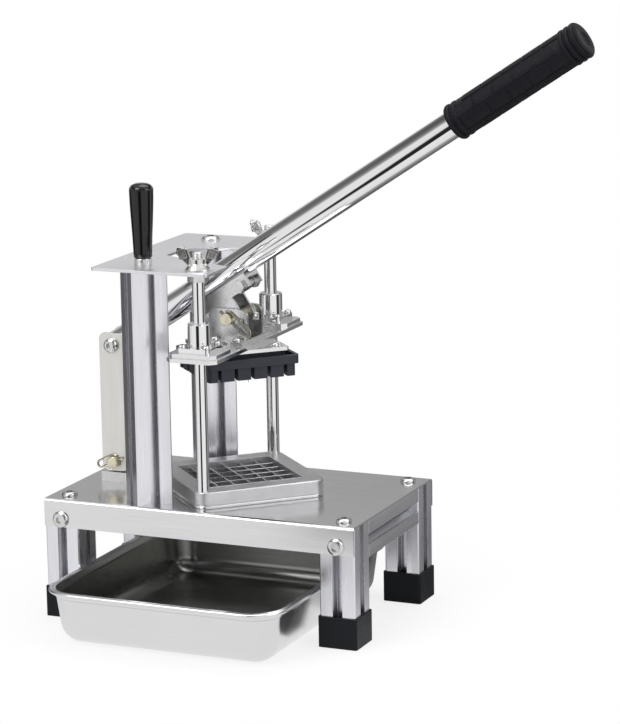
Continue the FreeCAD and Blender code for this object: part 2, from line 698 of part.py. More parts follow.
def pusher_block():
    """The moulded pusher: a dished slab over square teeth that pass between the blades."""
    slab = rounded_block(PUSHER_SIDE, PUSHER_SIDE, PUSHER_SLAB + PUSHER_RIM_RISE, SLAB_BOTTOM, PUSHER_CORNER)
    inside = PUSHER_SIDE - 2 * PUSHER_RIM_WALL
    dish = rounded_block(inside, inside, PUSHER_RIM_RISE + 1, SLAB_TOP, PUSHER_CORNER - PUSHER_RIM_WALL)
    boss = rounded_block(BOSS_SIDE, BOSS_SIDE, BOSS_RISE, SLAB_TOP, PUSHER_CORNER)
    teeth = rounded_block(TEETH_SIDE, TEETH_SIDE, TOOTH_HEIGHT, TEETH_BOTTOM, PUSHER_CORNER - 1)
    cuts = []
    for offset in blade_offsets():
        cuts.append(block(PUSHER_SIDE, TOOTH_GAP, TOOTH_HEIGHT, 0, offset, TEETH_BOTTOM))
        cuts.append(block(TOOTH_GAP, PUSHER_SIDE, TOOTH_HEIGHT, offset, 0, TEETH_BOTTOM))
    body = slab.cut(dish).fuse([boss, teeth.cut(cuts)]).removeSplitter()
    body = diamond(body).cut(pusher_screw_cuts(PUSHER_PLATE_BOTTOM - PUSHER_SCREW_GRIP, PUSHER_SCREW_GRIP))
    return body.cut([spike(x, y) for x, y in spike_places()])


def spike_places():
    """Where the two holding spikes stand, at the middles of teeth beside the centre."""
    reach = BLADE_PITCH / 2 * math.sqrt(2)
    return [(reach, 0), (-reach, 0)]


def spike(x, y):
    """A spike's shank, from the slab's top down to below the teeth."""
    return disc(SPIKE_RADIUS, V(x, y, TEETH_BOTTOM - 1), SLAB_TOP - TEETH_BOTTOM + 1)


def potato_spikes():
    """Two thin pointed pins that keep the potato from slipping."""
    pieces = []
    for x, y in spike_places():
        tip = V(x, y, TEETH_BOTTOM - SPIKE_LENGTH)
        point = Part.makeCone(SPIKE_TIP_RADIUS, SPIKE_RADIUS, SPIKE_LENGTH - 1, tip, Z_AXIS)
        pieces.append(spike(x, y).fuse(point).removeSplitter())
    return Part.makeCompound(pieces)


def pusher_screw_places():
    """Four screws, one near each corner of the pusher plate."""
    reach = BOSS_SIDE / 2 - PUSHER_SCREW_EDGE
    spots = []
    for turn in range(4):
        spots.append(FreeCAD.Rotation(Z_AXIS, 90 * turn + 45).multVec(V(reach, reach, 0)))
    return spots


def pusher_screw_cuts(bottom, height):
    """Holes for the pusher's screws."""
    return [disc(PUSHER_SCREW_RADIUS, spot + Z_AXIS * bottom, height) for spot in pusher_screw_places()]


def pusher_plate():
    """The square steel plate on top of the pusher block."""
    side = PUSHER_PLATE_SIDE
    plate = rounded_block(side, side, PUSHER_PLATE_THICKNESS, PUSHER_PLATE_BOTTOM, PUSHER_PLATE_CORNER)
    return diamond(plate).cut(pusher_screw_cuts(PUSHER_PLATE_BOTTOM, PUSHER_PLATE_THICKNESS))


def pusher_screws():
    """Screws down into the pusher's boss: two through the carriage bar, two beside it."""
    radius, height = PUSHER_SCREW_HEAD
    pieces = []
    low = PUSHER_PLATE_BOTTOM - PUSHER_SCREW_GRIP
    for spot in pusher_screw_places():
        seat = CARRIAGE_TOP if abs(spot.x) < CARRIAGE_HALF_WIDTH else CARRIAGE_BOTTOM
        head = pan_head(radius, height, spot + Z_AXIS * seat, Z_AXIS)
        shank = disc(PUSHER_SCREW_RADIUS, spot + Z_AXIS * low, seat - low)
        pieces.append(head.fuse(shank).removeSplitter())
    return Part.makeCompound(pieces)


def bush_screw_places(side):
    """The four screws round one bush."""
    reach = BUSH_SCREW_SPACING / 2
    return [V(x, side * ROD_Y + y, 0) for x in (-reach, reach) for y in (-reach, reach)]


def carriage_plate():
    """The bar that rides on both rods and carries the pusher."""
    bar = block(2 * CARRIAGE_HALF_WIDTH, 2 * CARRIAGE_HALF_LENGTH, CARRIAGE_THICKNESS, 0, 0, CARRIAGE_BOTTOM)
    bar = bar.makeChamfer(CARRIAGE_CORNER, vertical_edges(bar))
    cuts = []
    for side in SIDES.values():
        cuts.append(disc(BUSH_RADIUS, V(0, side * ROD_Y, CARRIAGE_BOTTOM), CARRIAGE_THICKNESS))
        for place in bush_screw_places(side):
            cuts.append(disc(BUSH_SCREW_RADIUS, place + Z_AXIS * CARRIAGE_BOTTOM, CARRIAGE_THICKNESS))
    cuts += pusher_screw_cuts(CARRIAGE_BOTTOM, CARRIAGE_THICKNESS)
    return bar.cut(cuts)


def bush_pads():
    """Thick pads between the carriage bar and the bushes' flanges."""
    pieces = []
    for side in SIDES.values():
        centre_y = side * ROD_Y
        pad = block(PAD_WIDTH, PAD_LENGTH, PAD_THICKNESS, 0, centre_y, CARRIAGE_TOP)
        pad = pad.makeChamfer(CARRIAGE_CORNER - 1, vertical_edges(pad))
        cuts = [disc(BUSH_RADIUS, V(0, centre_y, CARRIAGE_TOP), PAD_THICKNESS)]
        for place in bush_screw_places(side):
            cuts.append(disc(BUSH_SCREW_RADIUS, place + Z_AXIS * CARRIAGE_TOP, PAD_THICKNESS))
        pieces.append(pad.cut(cuts))
    return Part.makeCompound(pieces)


def bush(side):
    """A flanged bush that slides on its rod."""
    place = V(0, side * ROD_Y, 0)
    sleeve_low = PAD_TOP - BUSH_BELOW_FLANGE
    sleeve = disc(BUSH_RADIUS, place + Z_AXIS * sleeve_low, BUSH_TOP - sleeve_low)
    sleeve = sleeve.makeChamfer(BUSH_RIM_CHAMFER, edges_at_level(sleeve, BUSH_TOP))
    wide = BUSH_FLANGE_SIDE
    flange = rounded_block(wide, wide, BUSH_FLANGE_THICKNESS, PAD_TOP, BUSH_FLANGE_CORNER, 0, place.y)
    body = sleeve.fuse(flange).removeSplitter()
    cuts = [disc(ROD_RADIUS + RUNNING, place + Z_AXIS * (sleeve_low - 1), BUSH_TOP - sleeve_low + 2)]
    for spot in bush_screw_places(side):
        cuts.append(disc(BUSH_SCREW_RADIUS, spot + Z_AXIS * PAD_TOP, BUSH_FLANGE_THICKNESS))
    return body.cut(cuts)


def bush_screws():
    """Small screws that hold both bushes down."""
    radius, height = BUSH_SCREW_HEAD
    pieces = []
    for side in SIDES.values():
        for place in bush_screw_places(side):
            head = pan_head(radius, height, place + Z_AXIS * FLANGE_TOP, Z_AXIS)
            shank = disc(BUSH_SCREW_RADIUS, place + Z_AXIS * CARRIAGE_BOTTOM, FLANGE_TOP - CARRIAGE_BOTTOM)
            pieces.append(head.fuse(shank).removeSplitter())
    return Part.makeCompound(pieces)


def clevis_screw_places():
    """Screws through the clevis's two feet."""
    along = CLEVIS_SCREW_SPACING / 2
    across = CLEVIS_OUTER_Y + CLEVIS_FOOT / 2
    return [V(x, y, 0) for x in (-along, along) for y in (-across, across)]


def carriage_clevis():
    """Two bent ears that stand on the carriage bar and hold the lever's pivot pin."""
    top = PIVOT.z + CLEVIS_ABOVE_PIN
    pieces = []
    for side in SIDES.values():
        centre_y = side * (CLEVIS_INNER_Y + CLEVIS_WALL / 2)
        ear = block(CLEVIS_LENGTH, CLEVIS_WALL, top - CARRIAGE_TOP, 0, centre_y, CARRIAGE_TOP)
        across = [e for e in ear.Edges if e.BoundBox.YLength > CLEVIS_WALL / 2 and e.BoundBox.XLength < 0.1]
        ear = ear.makeFillet(CLEVIS_CORNER, [e for e in across if e.BoundBox.ZMin > top - 1])
        foot_y = side * (CLEVIS_OUTER_Y + CLEVIS_FOOT / 2)
        pad = block(CLEVIS_LENGTH, CLEVIS_FOOT, CLEVIS_WALL, 0, foot_y, CARRIAGE_TOP)
        pieces.append(ear.fuse(pad).removeSplitter())
    floor = block(CLEVIS_LENGTH, 2 * CLEVIS_INNER_Y, CLEVIS_WALL, 0, 0, CARRIAGE_TOP)
    body = pieces[0].fuse([pieces[1], floor]).removeSplitter()
    cuts = [disc(PIN_RADIUS, V(0, -CLEVIS_OUTER_Y - 1, PIVOT.z), 2 * CLEVIS_OUTER_Y + 2, Y_AXIS)]
    window_low = PIVOT.z - CLEVIS_WINDOW_DROP
    cuts.append(block(CLEVIS_WINDOW, 2 * CLEVIS_OUTER_Y + 2, CLEVIS_WINDOW, CLEVIS_WINDOW_X, 0, window_low))
    for spot in clevis_screw_places():
        cuts.append(disc(CLEVIS_SCREW_RADIUS, spot + Z_AXIS * CARRIAGE_TOP, CLEVIS_WALL))
    return body.cut(cuts)


def clevis_screws():
    """Screws that hold the clevis to the carriage bar."""
    radius, height = CLEVIS_SCREW_HEAD
    pieces = []
    for spot in clevis_screw_places():
        place = spot + Z_AXIS * (CARRIAGE_TOP + CLEVIS_WALL)
        head = pan_head(radius, height, place, Z_AXIS)
        shank = disc(CLEVIS_SCREW_RADIUS, place - Z_AXIS * CLEVIS_WALL, CLEVIS_WALL)
        pieces.append(head.fuse(shank).removeSplitter())
    return Part.makeCompound(pieces)


def headed_pin(centre, half_grip, clip_angle):
    """A pin along Y with its head on the far side and a clip hole at its near end."""
    start = centre + Y_AXIS * half_grip
    length = 2 * half_grip + CLIP_WIRE / 2 + HOLE_PLAY + PIN_END
    shank = disc(PIN_RADIUS, start, length, Y_AXIS * -1)
    shank = shank.makeChamfer(PIN_END_CHAMFER, edges_across(shank, start.y - length))
    head = disc(PIN_HEAD_RADIUS, start, PIN_HEAD_HEIGHT, Y_AXIS)
    head = head.makeFillet(PIN_HEAD_ROUND, edges_across(head, start.y + PIN_HEAD_HEIGHT))
    pin = shank.fuse(head).removeSplitter()
    return pin.cut(clip_hole(clip_centre(centre, half_grip), clip_angle))


def edges_across(shape, y):
    """The edges of a shape that lie in one plane across Y."""
    return [e for e in shape.Edges if abs(e.BoundBox.YMin - y) < 1e-4 and abs(e.BoundBox.YMax - y) < 1e-4]


def clip_centre(centre, half_grip):
    """Where a pin's spring clip crosses it, just outside the piece that it keeps in."""
    return centre - Y_AXIS * (half_grip + CLIP_WIRE / 2 + HOLE_PLAY)


def on_lever(shape):
    """Moves a shape from the lever's own frame, x along the tube from the rear pin, to its place."""
    placed = shape.copy()
    placed.rotate(V(0, 0, 0), Y_AXIS, -LEVER_ANGLE)
    placed.translate(REAR_PIN)
    return placed


def pivot_on_lever():
    """The carriage pivot in the lever's own frame."""
    return FreeCAD.Rotation(Y_AXIS, LEVER_ANGLE).multVec(PIVOT - REAR_PIN)


def lever_tube():
    """The long tube, forked at its back end so that it can slide over the rear bolt."""
    length = TUBE_TAIL + TUBE_END
    tube = disc(TUBE_RADIUS, V(-TUBE_TAIL, 0, 0), length, X_AXIS)
    tube = tube.cut(disc(TUBE_RADIUS - TUBE_WALL, V(-TUBE_TAIL, 0, 0), length, X_AXIS))
    slot_radius = REAR_BOLT_RADIUS + REAR_SLOT_SIDEWAYS
    slot_length = 2 * TUBE_TAIL + REAR_SLOT_AHEAD
    slot_middle = REAR_SLOT_AHEAD - slot_length / 2
    slot = block(slot_length, 4 * TUBE_RADIUS, 2 * slot_radius, slot_middle, 0, -slot_radius)
    slot_end = disc(slot_radius, V(REAR_SLOT_AHEAD, -2 * TUBE_RADIUS, 0), 4 * TUBE_RADIUS, Y_AXIS)
    return on_lever(tube.cut([slot, slot_end]))


def lever_grip():
    """A moulded grip with ridged rings at both ends and a closed far end."""
    end = GRIP_START + GRIP_LENGTH
    body = disc(GRIP_RADIUS, V(GRIP_START, 0, 0), GRIP_LENGTH, X_AXIS)
    rings = []
    pitch = GRIP_RING_WIDTH + GRIP_RING_GAP
    for start in (GRIP_START, GRIP_START + pitch, end - GRIP_RING_WIDTH - pitch, end - GRIP_RING_WIDTH):
        ring = disc(GRIP_RING_RADIUS, V(start, 0, 0), GRIP_RING_WIDTH, X_AXIS)
        rings.append(ring.makeFillet(GRIP_RING_ROUND, [ring.Edges[0], ring.Edges[2]]))
    grip = body.fuse(rings).removeSplitter()
    grip = grip.cut(disc(TUBE_RADIUS, V(0, 0, 0), TUBE_END, X_AXIS))
    return on_lever(grip)


def lug_bolt_centre():
    """The cross bolt's place in the lever's own frame."""
    return V(LUG_BOLT_X, 0, -TUBE_RADIUS - LUG_BOLT_DROP)


def lever_lug():
    """A channel welded under the tube, with ears that reach down to the pivot pin."""
    pivot = pivot_on_lever()
    top = -TUBE_RADIUS * 0.8
    bottom = -TUBE_RADIUS - LUG_DEPTH
    length = LUG_FRONT - LUG_BACK
    middle = (LUG_FRONT + LUG_BACK) / 2
    channel = block(length, LUG_WIDTH, top - bottom, middle, 0, bottom)
    ear_length = LUG_EAR_WIDTH
    ear = block(ear_length, LUG_WIDTH, bottom - pivot.z, pivot.x, 0, pivot.z)
    round_end = disc(ear_length / 2, V(pivot.x, -LUG_WIDTH / 2, pivot.z), LUG_WIDTH, Y_AXIS)
    body = channel.fuse([ear, round_end]).removeSplitter()
    inside_top = -TUBE_RADIUS - LUG_WALL
    inside_low = inside_top - 4 * TUBE_RADIUS
    inside = block(4 * length, LUG_WIDTH - 2 * LUG_WALL, 4 * TUBE_RADIUS, middle, 0, inside_low)
    tube = disc(TUBE_RADIUS, V(0, 0, 0), TUBE_END, X_AXIS)
    pin_bore = disc(PIN_RADIUS + RUNNING, V(pivot.x, -LUG_WIDTH, pivot.z), 2 * LUG_WIDTH, Y_AXIS)
    bolt_start = lug_bolt_centre() - Y_AXIS * LUG_WIDTH
    bolt_hole = disc(LUG_BOLT_RADIUS + HOLE_PLAY, bolt_start, 2 * LUG_WIDTH, Y_AXIS)
    return on_lever(body.cut([inside, tube, pin_bore, bolt_hole]))


def lug_bolt():
    """The cross bolt and nut that stiffen the lug's front end."""
    half = LUG_WIDTH / 2
    centre = lug_bolt_centre()
    half_width, height = LUG_BOLT_HEAD
    head = hexagon(half_width, centre - Y_AXIS * half, height, Y_AXIS * -1)
    shank = disc(LUG_BOLT_RADIUS, centre - Y_AXIS * half, LUG_WIDTH + BOLT_PAST_SEAT, Y_AXIS)
    nut = hexagon(BASE_NUT[0], centre + Y_AXIS * half, BASE_NUT[1], Y_AXIS)
    nut = nut.cut(disc(LUG_BOLT_RADIUS, centre, LUG_WIDTH + BOLT_PAST_SEAT, Y_AXIS))
    return on_lever(Part.makeCompound([head.fuse(shank).removeSplitter(), nut]))


def link_plate(side):
    """One of the two flat links between the hitch and the lever's back end."""
    low = HITCH_PIN.z - LINK_BELOW_PIN
    height = REAR_PIN.z + LINK_ABOVE_PIN - low
    centre_y = side * (LINK_INNER_Y + LINK_THICKNESS / 2)
    plate = block(LINK_WIDTH, LINK_THICKNESS, height, HITCH_X, centre_y, low)
    across = [e for e in plate.Edges if e.BoundBox.XLength < 0.1 and e.BoundBox.ZLength < 0.1]
    plate = plate.makeFillet(LINK_CORNER, across)
    through = 2 * LINK_OUTER_Y
    low_bore = disc(PIN_RADIUS + RUNNING, V(HITCH_X, -through, HITCH_PIN.z), 2 * through, Y_AXIS)
    high_bore = disc(REAR_BOLT_RADIUS, V(HITCH_X, -through, REAR_PIN.z), 2 * through, Y_AXIS)
    return plate.cut([low_bore, high_bore])


def rear_bolt():
    """The bolt that both links and the lever's slotted end share."""
    radius, height = REAR_BOLT_HEAD
    start = REAR_PIN - Y_AXIS * LINK_OUTER_Y
    shank = disc(REAR_BOLT_RADIUS, start, 2 * LINK_OUTER_Y + BOLT_PAST_SEAT, Y_AXIS)
    head = pan_head(radius, height, start, Y_AXIS * -1)
    return shank.fuse(head).removeSplitter()


def rear_nut():
    """The nut on the rear bolt's far end."""
    half_width, height = REAR_NUT
    start = REAR_PIN + Y_AXIS * LINK_OUTER_Y
    return hexagon(half_width, start, height, Y_AXIS).cut(disc(REAR_BOLT_RADIUS, start, height, Y_AXIS))


def hitch_bracket():
    """The block on the table whose two ears carry the links' pin."""
    seat = block(HITCH_BLOCK_LENGTH, 2 * LINK_OUTER_Y, HITCH_BLOCK_HEIGHT, HITCH_X, 0, TABLE_HEIGHT)
    ear_top = HITCH_PIN.z
    ears = []
    for side in SIDES.values():
        centre_y = side * (HITCH_EAR_GAP + HITCH_EAR_THICKNESS) / 2
        low = TABLE_HEIGHT + HITCH_BLOCK_HEIGHT
        ears.append(block(HITCH_EAR_WIDTH, HITCH_EAR_THICKNESS, ear_top - low, HITCH_X, centre_y, low))
        start = V(HITCH_X, centre_y - HITCH_EAR_THICKNESS / 2, ear_top)
        ears.append(disc(HITCH_EAR_WIDTH / 2, start, HITCH_EAR_THICKNESS, Y_AXIS))
    body = seat.fuse(ears).removeSplitter()
    through = 2 * LINK_OUTER_Y
    cuts = [disc(PIN_RADIUS, V(HITCH_X, -through, HITCH_PIN.z), 2 * through, Y_AXIS)]
    for x, y in hitch_screw_places():
        cuts.append(disc(HITCH_SCREW_RADIUS, V(x, y, TABLE_HEIGHT), HITCH_BLOCK_HEIGHT / 2))
    return body.cut(cuts)


def hitch_screws():
    """Screws from under the table into the hitch block."""
    radius, height = HITCH_SCREW_HEAD
    pieces = []
    for x, y in hitch_screw_places():
        place = V(x, y, SHEET_BOTTOM)
        head = pan_head(radius, height, place, Z_AXIS * -1)
        shank = disc(HITCH_SCREW_RADIUS, place, SHEET + HITCH_BLOCK_HEIGHT / 2)
        pieces.append(head.fuse(shank).removeSplitter())
    return Part.makeCompound(pieces)


def tray_shell_solid(width, depth, bottom, top, corner, bottom_round):
    """A solid with tapered sides and rounded corners, filled, as wide at the top as given."""
    inset = (top - bottom) * math.tan(math.radians(TRAY_TAPER))
    wires = []
    for level, shrink in ((bottom, inset), (top, 0.0)):
        outline = rounded_block(width - 2 * shrink, depth - 2 * shrink, 1, level, corner - shrink,
                                TRAY_CENTRE_X, TRAY_CENTRE_Y)
        flat = [f for f in outline.Faces if f.BoundBox.ZLength < 1e-6]
        wires.append(min(flat, key=lambda f: f.BoundBox.ZMin).OuterWire)
    body = Part.makeLoft(wires, True, True)
    return body.makeFillet(bottom_round, edges_at_level(body, bottom))


def tray():
    """The deep tray with a rolled rim."""
    body_width = TRAY_WIDTH - 2 * TRAY_LIP
    body_depth = TRAY_DEPTH - 2 * TRAY_LIP
    outer = tray_shell_solid(body_width, body_depth, 0, TRAY_HEIGHT, TRAY_CORNER, TRAY_BOTTOM_ROUND)
    inside_width = body_width - 2 * TRAY_WALL
    inside_depth = body_depth - 2 * TRAY_WALL
    inner = tray_shell_solid(inside_width, inside_depth, TRAY_WALL, TRAY_HEIGHT + 1,
                             TRAY_CORNER - TRAY_WALL, TRAY_BOTTOM_ROUND - TRAY_WALL)
    rim_low = TRAY_HEIGHT - TRAY_BEAD
    rim_corner = TRAY_CORNER + TRAY_LIP
    rim = rounded_block(TRAY_WIDTH, TRAY_DEPTH, TRAY_BEAD, rim_low, rim_corner, TRAY_CENTRE_X, TRAY_CENTRE_Y)
    rim = rim.makeFillet(TRAY_BEAD * 0.45, edges_at_level(rim, TRAY_HEIGHT))
    hollow = rounded_block(TRAY_WIDTH - 2 * TRAY_WALL, TRAY_DEPTH - 2 * TRAY_WALL, TRAY_BEAD - TRAY_WALL,
                           rim_low, rim_corner - TRAY_WALL, TRAY_CENTRE_X, TRAY_CENTRE_Y)
    return outer.fuse(rim.cut(hollow)).cut(inner)


def build():
    """Every node by name."""
    nodes = {
        "table_plate": table_plate(),
        "rail_left": rail(-1),
        "rail_right": rail(1),
        "leg_screws": leg_screws(),
        "rail_bolts": rail_bolts(),
        "post_screws": post_screws(),
        "top_plate": top_plate(),
        "post_top_screw": post_top_screw(),
        "side_handle": side_handle(),
        "side_handle_stud": side_handle_stud(),
        "rod_top_nuts": rod_top_nuts(),
        "rod_base_nuts": base_nuts([V(0, side * ROD_Y, 0) for side in SIDES.values()], ROD_BASE_STUD_RADIUS),
        "die_seat": die_seat(),
        "die_frame": die_frame(),
        "blades_lengthwise": blade_set(False),
        "blades_crosswise": blade_set(True),
        "hitch_bracket": hitch_bracket(),
        "hitch_screws": hitch_screws(),
        "hitch_pin": headed_pin(HITCH_PIN, LINK_OUTER_Y, HITCH_CLIP_ANGLE),
        "hitch_clip": r_clip(clip_centre(HITCH_PIN, LINK_OUTER_Y), HITCH_CLIP_ANGLE, HITCH_CLIP_REACH, 180),
        "carriage_plate": carriage_plate(),
        "bush_pads": bush_pads(),
        "bush_screws": bush_screws(),
        "carriage_clevis": carriage_clevis(),
        "clevis_screws": clevis_screws(),
        "pivot_pin": headed_pin(PIVOT, CLEVIS_OUTER_Y, PIVOT_CLIP_ANGLE),
        "pivot_clip": r_clip(clip_centre(PIVOT, CLEVIS_OUTER_Y), PIVOT_CLIP_ANGLE, PIVOT_CLIP_REACH, 0),
        "pusher_plate": pusher_plate(),
        "pusher_screws": pusher_screws(),
        "pusher_block": pusher_block(),
        "potato_spikes": potato_spikes(),
        "lever_tube": lever_tube(),
        "lever_grip": lever_grip(),
        "lever_lug": lever_lug(),
        "lug_bolt": lug_bolt(),
        "rear_bolt": rear_bolt(),
        "rear_nut": rear_nut(),
        "tray": tray(),
    }
    for name, (x, y) in CORNERS.items():
        nodes["leg_" + name] = leg(x, y)
        nodes["foot_" + name] = foot(x, y)
    for name, side in SIDES.items():
        nodes["post_" + name] = post(side)
        nodes["guide_rod_" + name] = guide_rod(side)
        nodes["bush_" + name] = bush(side)
        nodes["link_plate_" + name] = link_plate(side)
        seat = V(0, side * ROD_Y, PLATE_TOP)
        nodes["wing_nut_" + name] = wing_nut(seat)
    return nodes


def main():
    """Writes each node to its own file and prints what the record needs."""
    os.makedirs("parts", exist_ok=True)
    nodes = build()
    for name, shape in nodes.items():
        if not shape.isValid():
            print("not valid:", name)
        print(name, len(shape.Solids), "solids", round(shape.Volume, 1), "mm3")
        shape.exportStep("parts/" + name + ".step")
    print("nodes", len(nodes))
    print("lever pivot", PIVOT, "hitch pin", HITCH_PIN, "rear pin", REAR_PIN)
    print("die top", DIE_TOP, "teeth", TEETH_BOTTOM, "carriage", CARRIAGE_BOTTOM, "plate top", PLATE_TOP)


main()
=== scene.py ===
import json
import math
from contextlib import contextmanager

import bmesh
import bpy
from mathutils import Matrix, Vector


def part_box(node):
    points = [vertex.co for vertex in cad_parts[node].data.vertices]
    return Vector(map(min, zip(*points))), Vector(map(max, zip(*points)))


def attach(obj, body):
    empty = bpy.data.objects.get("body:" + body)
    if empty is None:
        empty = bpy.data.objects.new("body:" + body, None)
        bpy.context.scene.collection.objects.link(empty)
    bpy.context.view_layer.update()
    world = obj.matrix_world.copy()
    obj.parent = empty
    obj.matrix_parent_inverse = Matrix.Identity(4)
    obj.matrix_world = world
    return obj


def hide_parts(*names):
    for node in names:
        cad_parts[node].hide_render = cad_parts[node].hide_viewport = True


bl_info = {
    "name": "French Fry Cutter",
    "version": (1, 0, 0),
    "blender": (4, 5, 0),
    "location": "3D View > Sidebar > Fry Cutter",
    "description": "Finishes and fine pieces of a hand-lever press with a blade grid",
    "category": "Object",
}

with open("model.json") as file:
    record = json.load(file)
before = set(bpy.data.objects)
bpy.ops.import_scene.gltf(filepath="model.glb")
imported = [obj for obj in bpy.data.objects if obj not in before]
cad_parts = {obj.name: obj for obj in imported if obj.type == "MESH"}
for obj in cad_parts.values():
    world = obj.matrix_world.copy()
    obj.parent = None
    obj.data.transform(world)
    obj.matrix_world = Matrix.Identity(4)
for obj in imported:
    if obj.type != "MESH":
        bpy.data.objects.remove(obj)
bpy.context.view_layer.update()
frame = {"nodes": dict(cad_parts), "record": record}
NODES = frame["nodes"]

MM = 0.001
WELD = 2e-5  # joins the loose corners of a node's triangles
TINY = 1e-6
SMOOTH_ANGLE = 35.0

# Places taken from the frame
TRAY_LOW, TRAY_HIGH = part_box("tray")
HANDLE_LOW, HANDLE_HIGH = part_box("side_handle")
LINK_LOW, LINK_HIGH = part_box("link_plate_near")
LINK_PIN_DROP = 10.0 * MM
LEVER_ANGLE = math.radians(33.0)
REAR_PIN = Vector(((LINK_LOW.x + LINK_HIGH.x) / 2, 0.0, LINK_HIGH.z - LINK_PIN_DROP))
LEVER_FRAME = Matrix.Translation(REAR_PIN) @ Matrix.Rotation(-LEVER_ANGLE, 4, "Y")


# Mesh helpers

def new_object(name, data):
    """Links a new object at the origin."""
    made = bpy.data.objects.new(name, data)
    bpy.context.scene.collection.objects.link(made)
    return made


@contextmanager
def editing(mesh):
    """A mesh opened for editing and written back at the end."""
    work = bmesh.new()
    work.from_mesh(mesh)
    yield work
    work.to_mesh(mesh)
    work.free()


def sharp_edges(work, angle):
    """Edges between two faces that meet at more than angle degrees."""
    limit = math.radians(angle)
    return [e for e in work.edges if len(e.link_faces) == 2 and e.calc_face_angle(0.0) > limit]


def smooth_faces(work, angle=SMOOTH_ANGLE):
    """Smooth faces with sharp edges where they meet at more than angle degrees."""
    limit = math.radians(angle)
    for face in work.faces:
        face.smooth = True
    for edge in work.edges:
        edge.smooth = len(edge.link_faces) == 2 and edge.calc_face_angle(0.0) < limit


def mesh_object(name, verts, faces, smooth_angle=SMOOTH_ANGLE):
    """A mesh with outward normals, smooth below the given angle."""
    mesh = bpy.data.meshes.new(name)
    mesh.from_pydata([tuple(v) for v in verts], [], faces)
    with editing(mesh) as work:
        bmesh.ops.remove_doubles(work, verts=work.verts, dist=TINY)
        bmesh.ops.recalc_face_normals(work, faces=work.faces)
        smooth_faces(work, smooth_angle)
    return new_object(name, mesh)


def skin_rings(rings):
    """Faces between neighbouring rings of vertex numbers; a ring of one is a pole."""
    faces = []
    for low, high in zip(rings, rings[1:]):
        count = max(len(low), len(high))
        for step in range(count):
            after = (step + 1) % count
            corners = [low[step % len(low)], low[after % len(low)],
                       high[after % len(high)], high[step % len(high)]]
            faces.append([c for i, c in enumerate(corners) if c not in corners[:i]])
    return faces


def lathe(name, profile, segments, placing, smooth_angle=SMOOTH_ANGLE):
    """A profile of (radius, height) turned about placing's Z."""
    verts = []
    rings = []
    for radius, height in profile:
        count = 1 if radius < 1e-9 else segments
        rings.append(list(range(len(verts), len(verts) + count)))
        for step in range(count):
            turn = 2 * math.pi * step / segments
            point = Vector((radius * math.cos(turn), radius * math.sin(turn), height))
            verts.append(placing @ point)
    return mesh_object(name, verts, skin_rings(rings), smooth_angle)


def rounded_ring(half_x, half_y, radius, height, centre, per_corner=14):
    """Points round a rectangle with rounded corners."""
    points = []
    for quarter in range(4):
        sign_x = 1 if quarter in (0, 3) else -1
        sign_y = 1 if quarter in (0, 1) else -1
        hub = Vector((centre.x + sign_x * (half_x - radius),
                      centre.y + sign_y * (half_y - radius), height))
        for step in range(per_corner + 1):
            turn = math.pi / 2 * (quarter + step / per_corner)
            points.append(hub + Vector((radius * math.cos(turn), radius * math.sin(turn), 0.0)))
    return points


def eased_copy(name, node, width, segments=2, smooth_angle=SMOOTH_ANGLE):
    """A copy of a node's mesh, its triangles joined, its flat faces whole and its edges eased."""
    mesh = NODES[node].data.copy()
    mesh.name = name
    mesh.materials.clear()
    with editing(mesh) as work:
        bmesh.ops.remove_doubles(work, verts=work.verts, dist=WELD)
        bmesh.ops.dissolve_degenerate(work, edges=work.edges, dist=TINY)
        bmesh.ops.dissolve_limit(work, angle_limit=math.radians(0.5), verts=work.verts,
                                 edges=work.edges)
        bmesh.ops.bevel(work, geom=sharp_edges(work, 38.0), offset=width, offset_type="OFFSET",
                        segments=segments, profile=0.5, affect="EDGES", clamp_overlap=True)
        bmesh.ops.dissolve_degenerate(work, edges=work.edges, dist=TINY / 10)
        smooth_faces(work, smooth_angle)
    mesh.update()
    piece = new_object(name, mesh)
    # Large faces rule the shading, so flat faces stay flat beside eased edges
    even = piece.modifiers.new("even", "WEIGHTED_NORMAL")
    even.weight = 100
    even.keep_sharp = True
    return piece


def soften(mesh, width):
    """Eases a mesh's sharp edges."""
    with editing(mesh) as work:
        bmesh.ops.remove_doubles(work, verts=work.verts, dist=TINY)
        bmesh.ops.bevel(work, geom=sharp_edges(work, 50.0), offset=width, segments=1,
                        profile=0.5, affect="EDGES", clamp_overlap=True)
        bmesh.ops.recalc_face_normals(work, faces=work.faces)
        smooth_faces(work, 40.0)


def close_hole(mesh):
    """Closes a mesh's open rims."""
    with editing(mesh) as work:
        bmesh.ops.holes_fill(work, edges=[e for e in work.edges if e.is_boundary], sides=0)
        bmesh.ops.recalc_face_normals(work, faces=work.faces)


# What the frame's record says

def body_of_node(node):
    """The body that a CAD node is part of."""
    for body, members in frame["record"]["behaviour"]["bodies"].items():
        if node in members:
            return body
    raise RuntimeError("no body holds " + node)


def slot_of(node):
    """The record's material slot of a CAD node."""
    for row in frame["record"]["subparts"]:
        if row["node"] == node:
            return row["material_slot"]
    raise RuntimeError("no slot for " + node)


def finish_piece(piece, finish, body, slot, *nodes):
    """Gives a piece its finish and its body, and hides the CAD nodes that it stands for; the slot
    is not used.
    """
    piece.data.materials.clear()
    piece.data.materials.append(FINISHES[finish])
    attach(piece, body)
    if nodes:
        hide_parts(*nodes)


# Node tree helpers

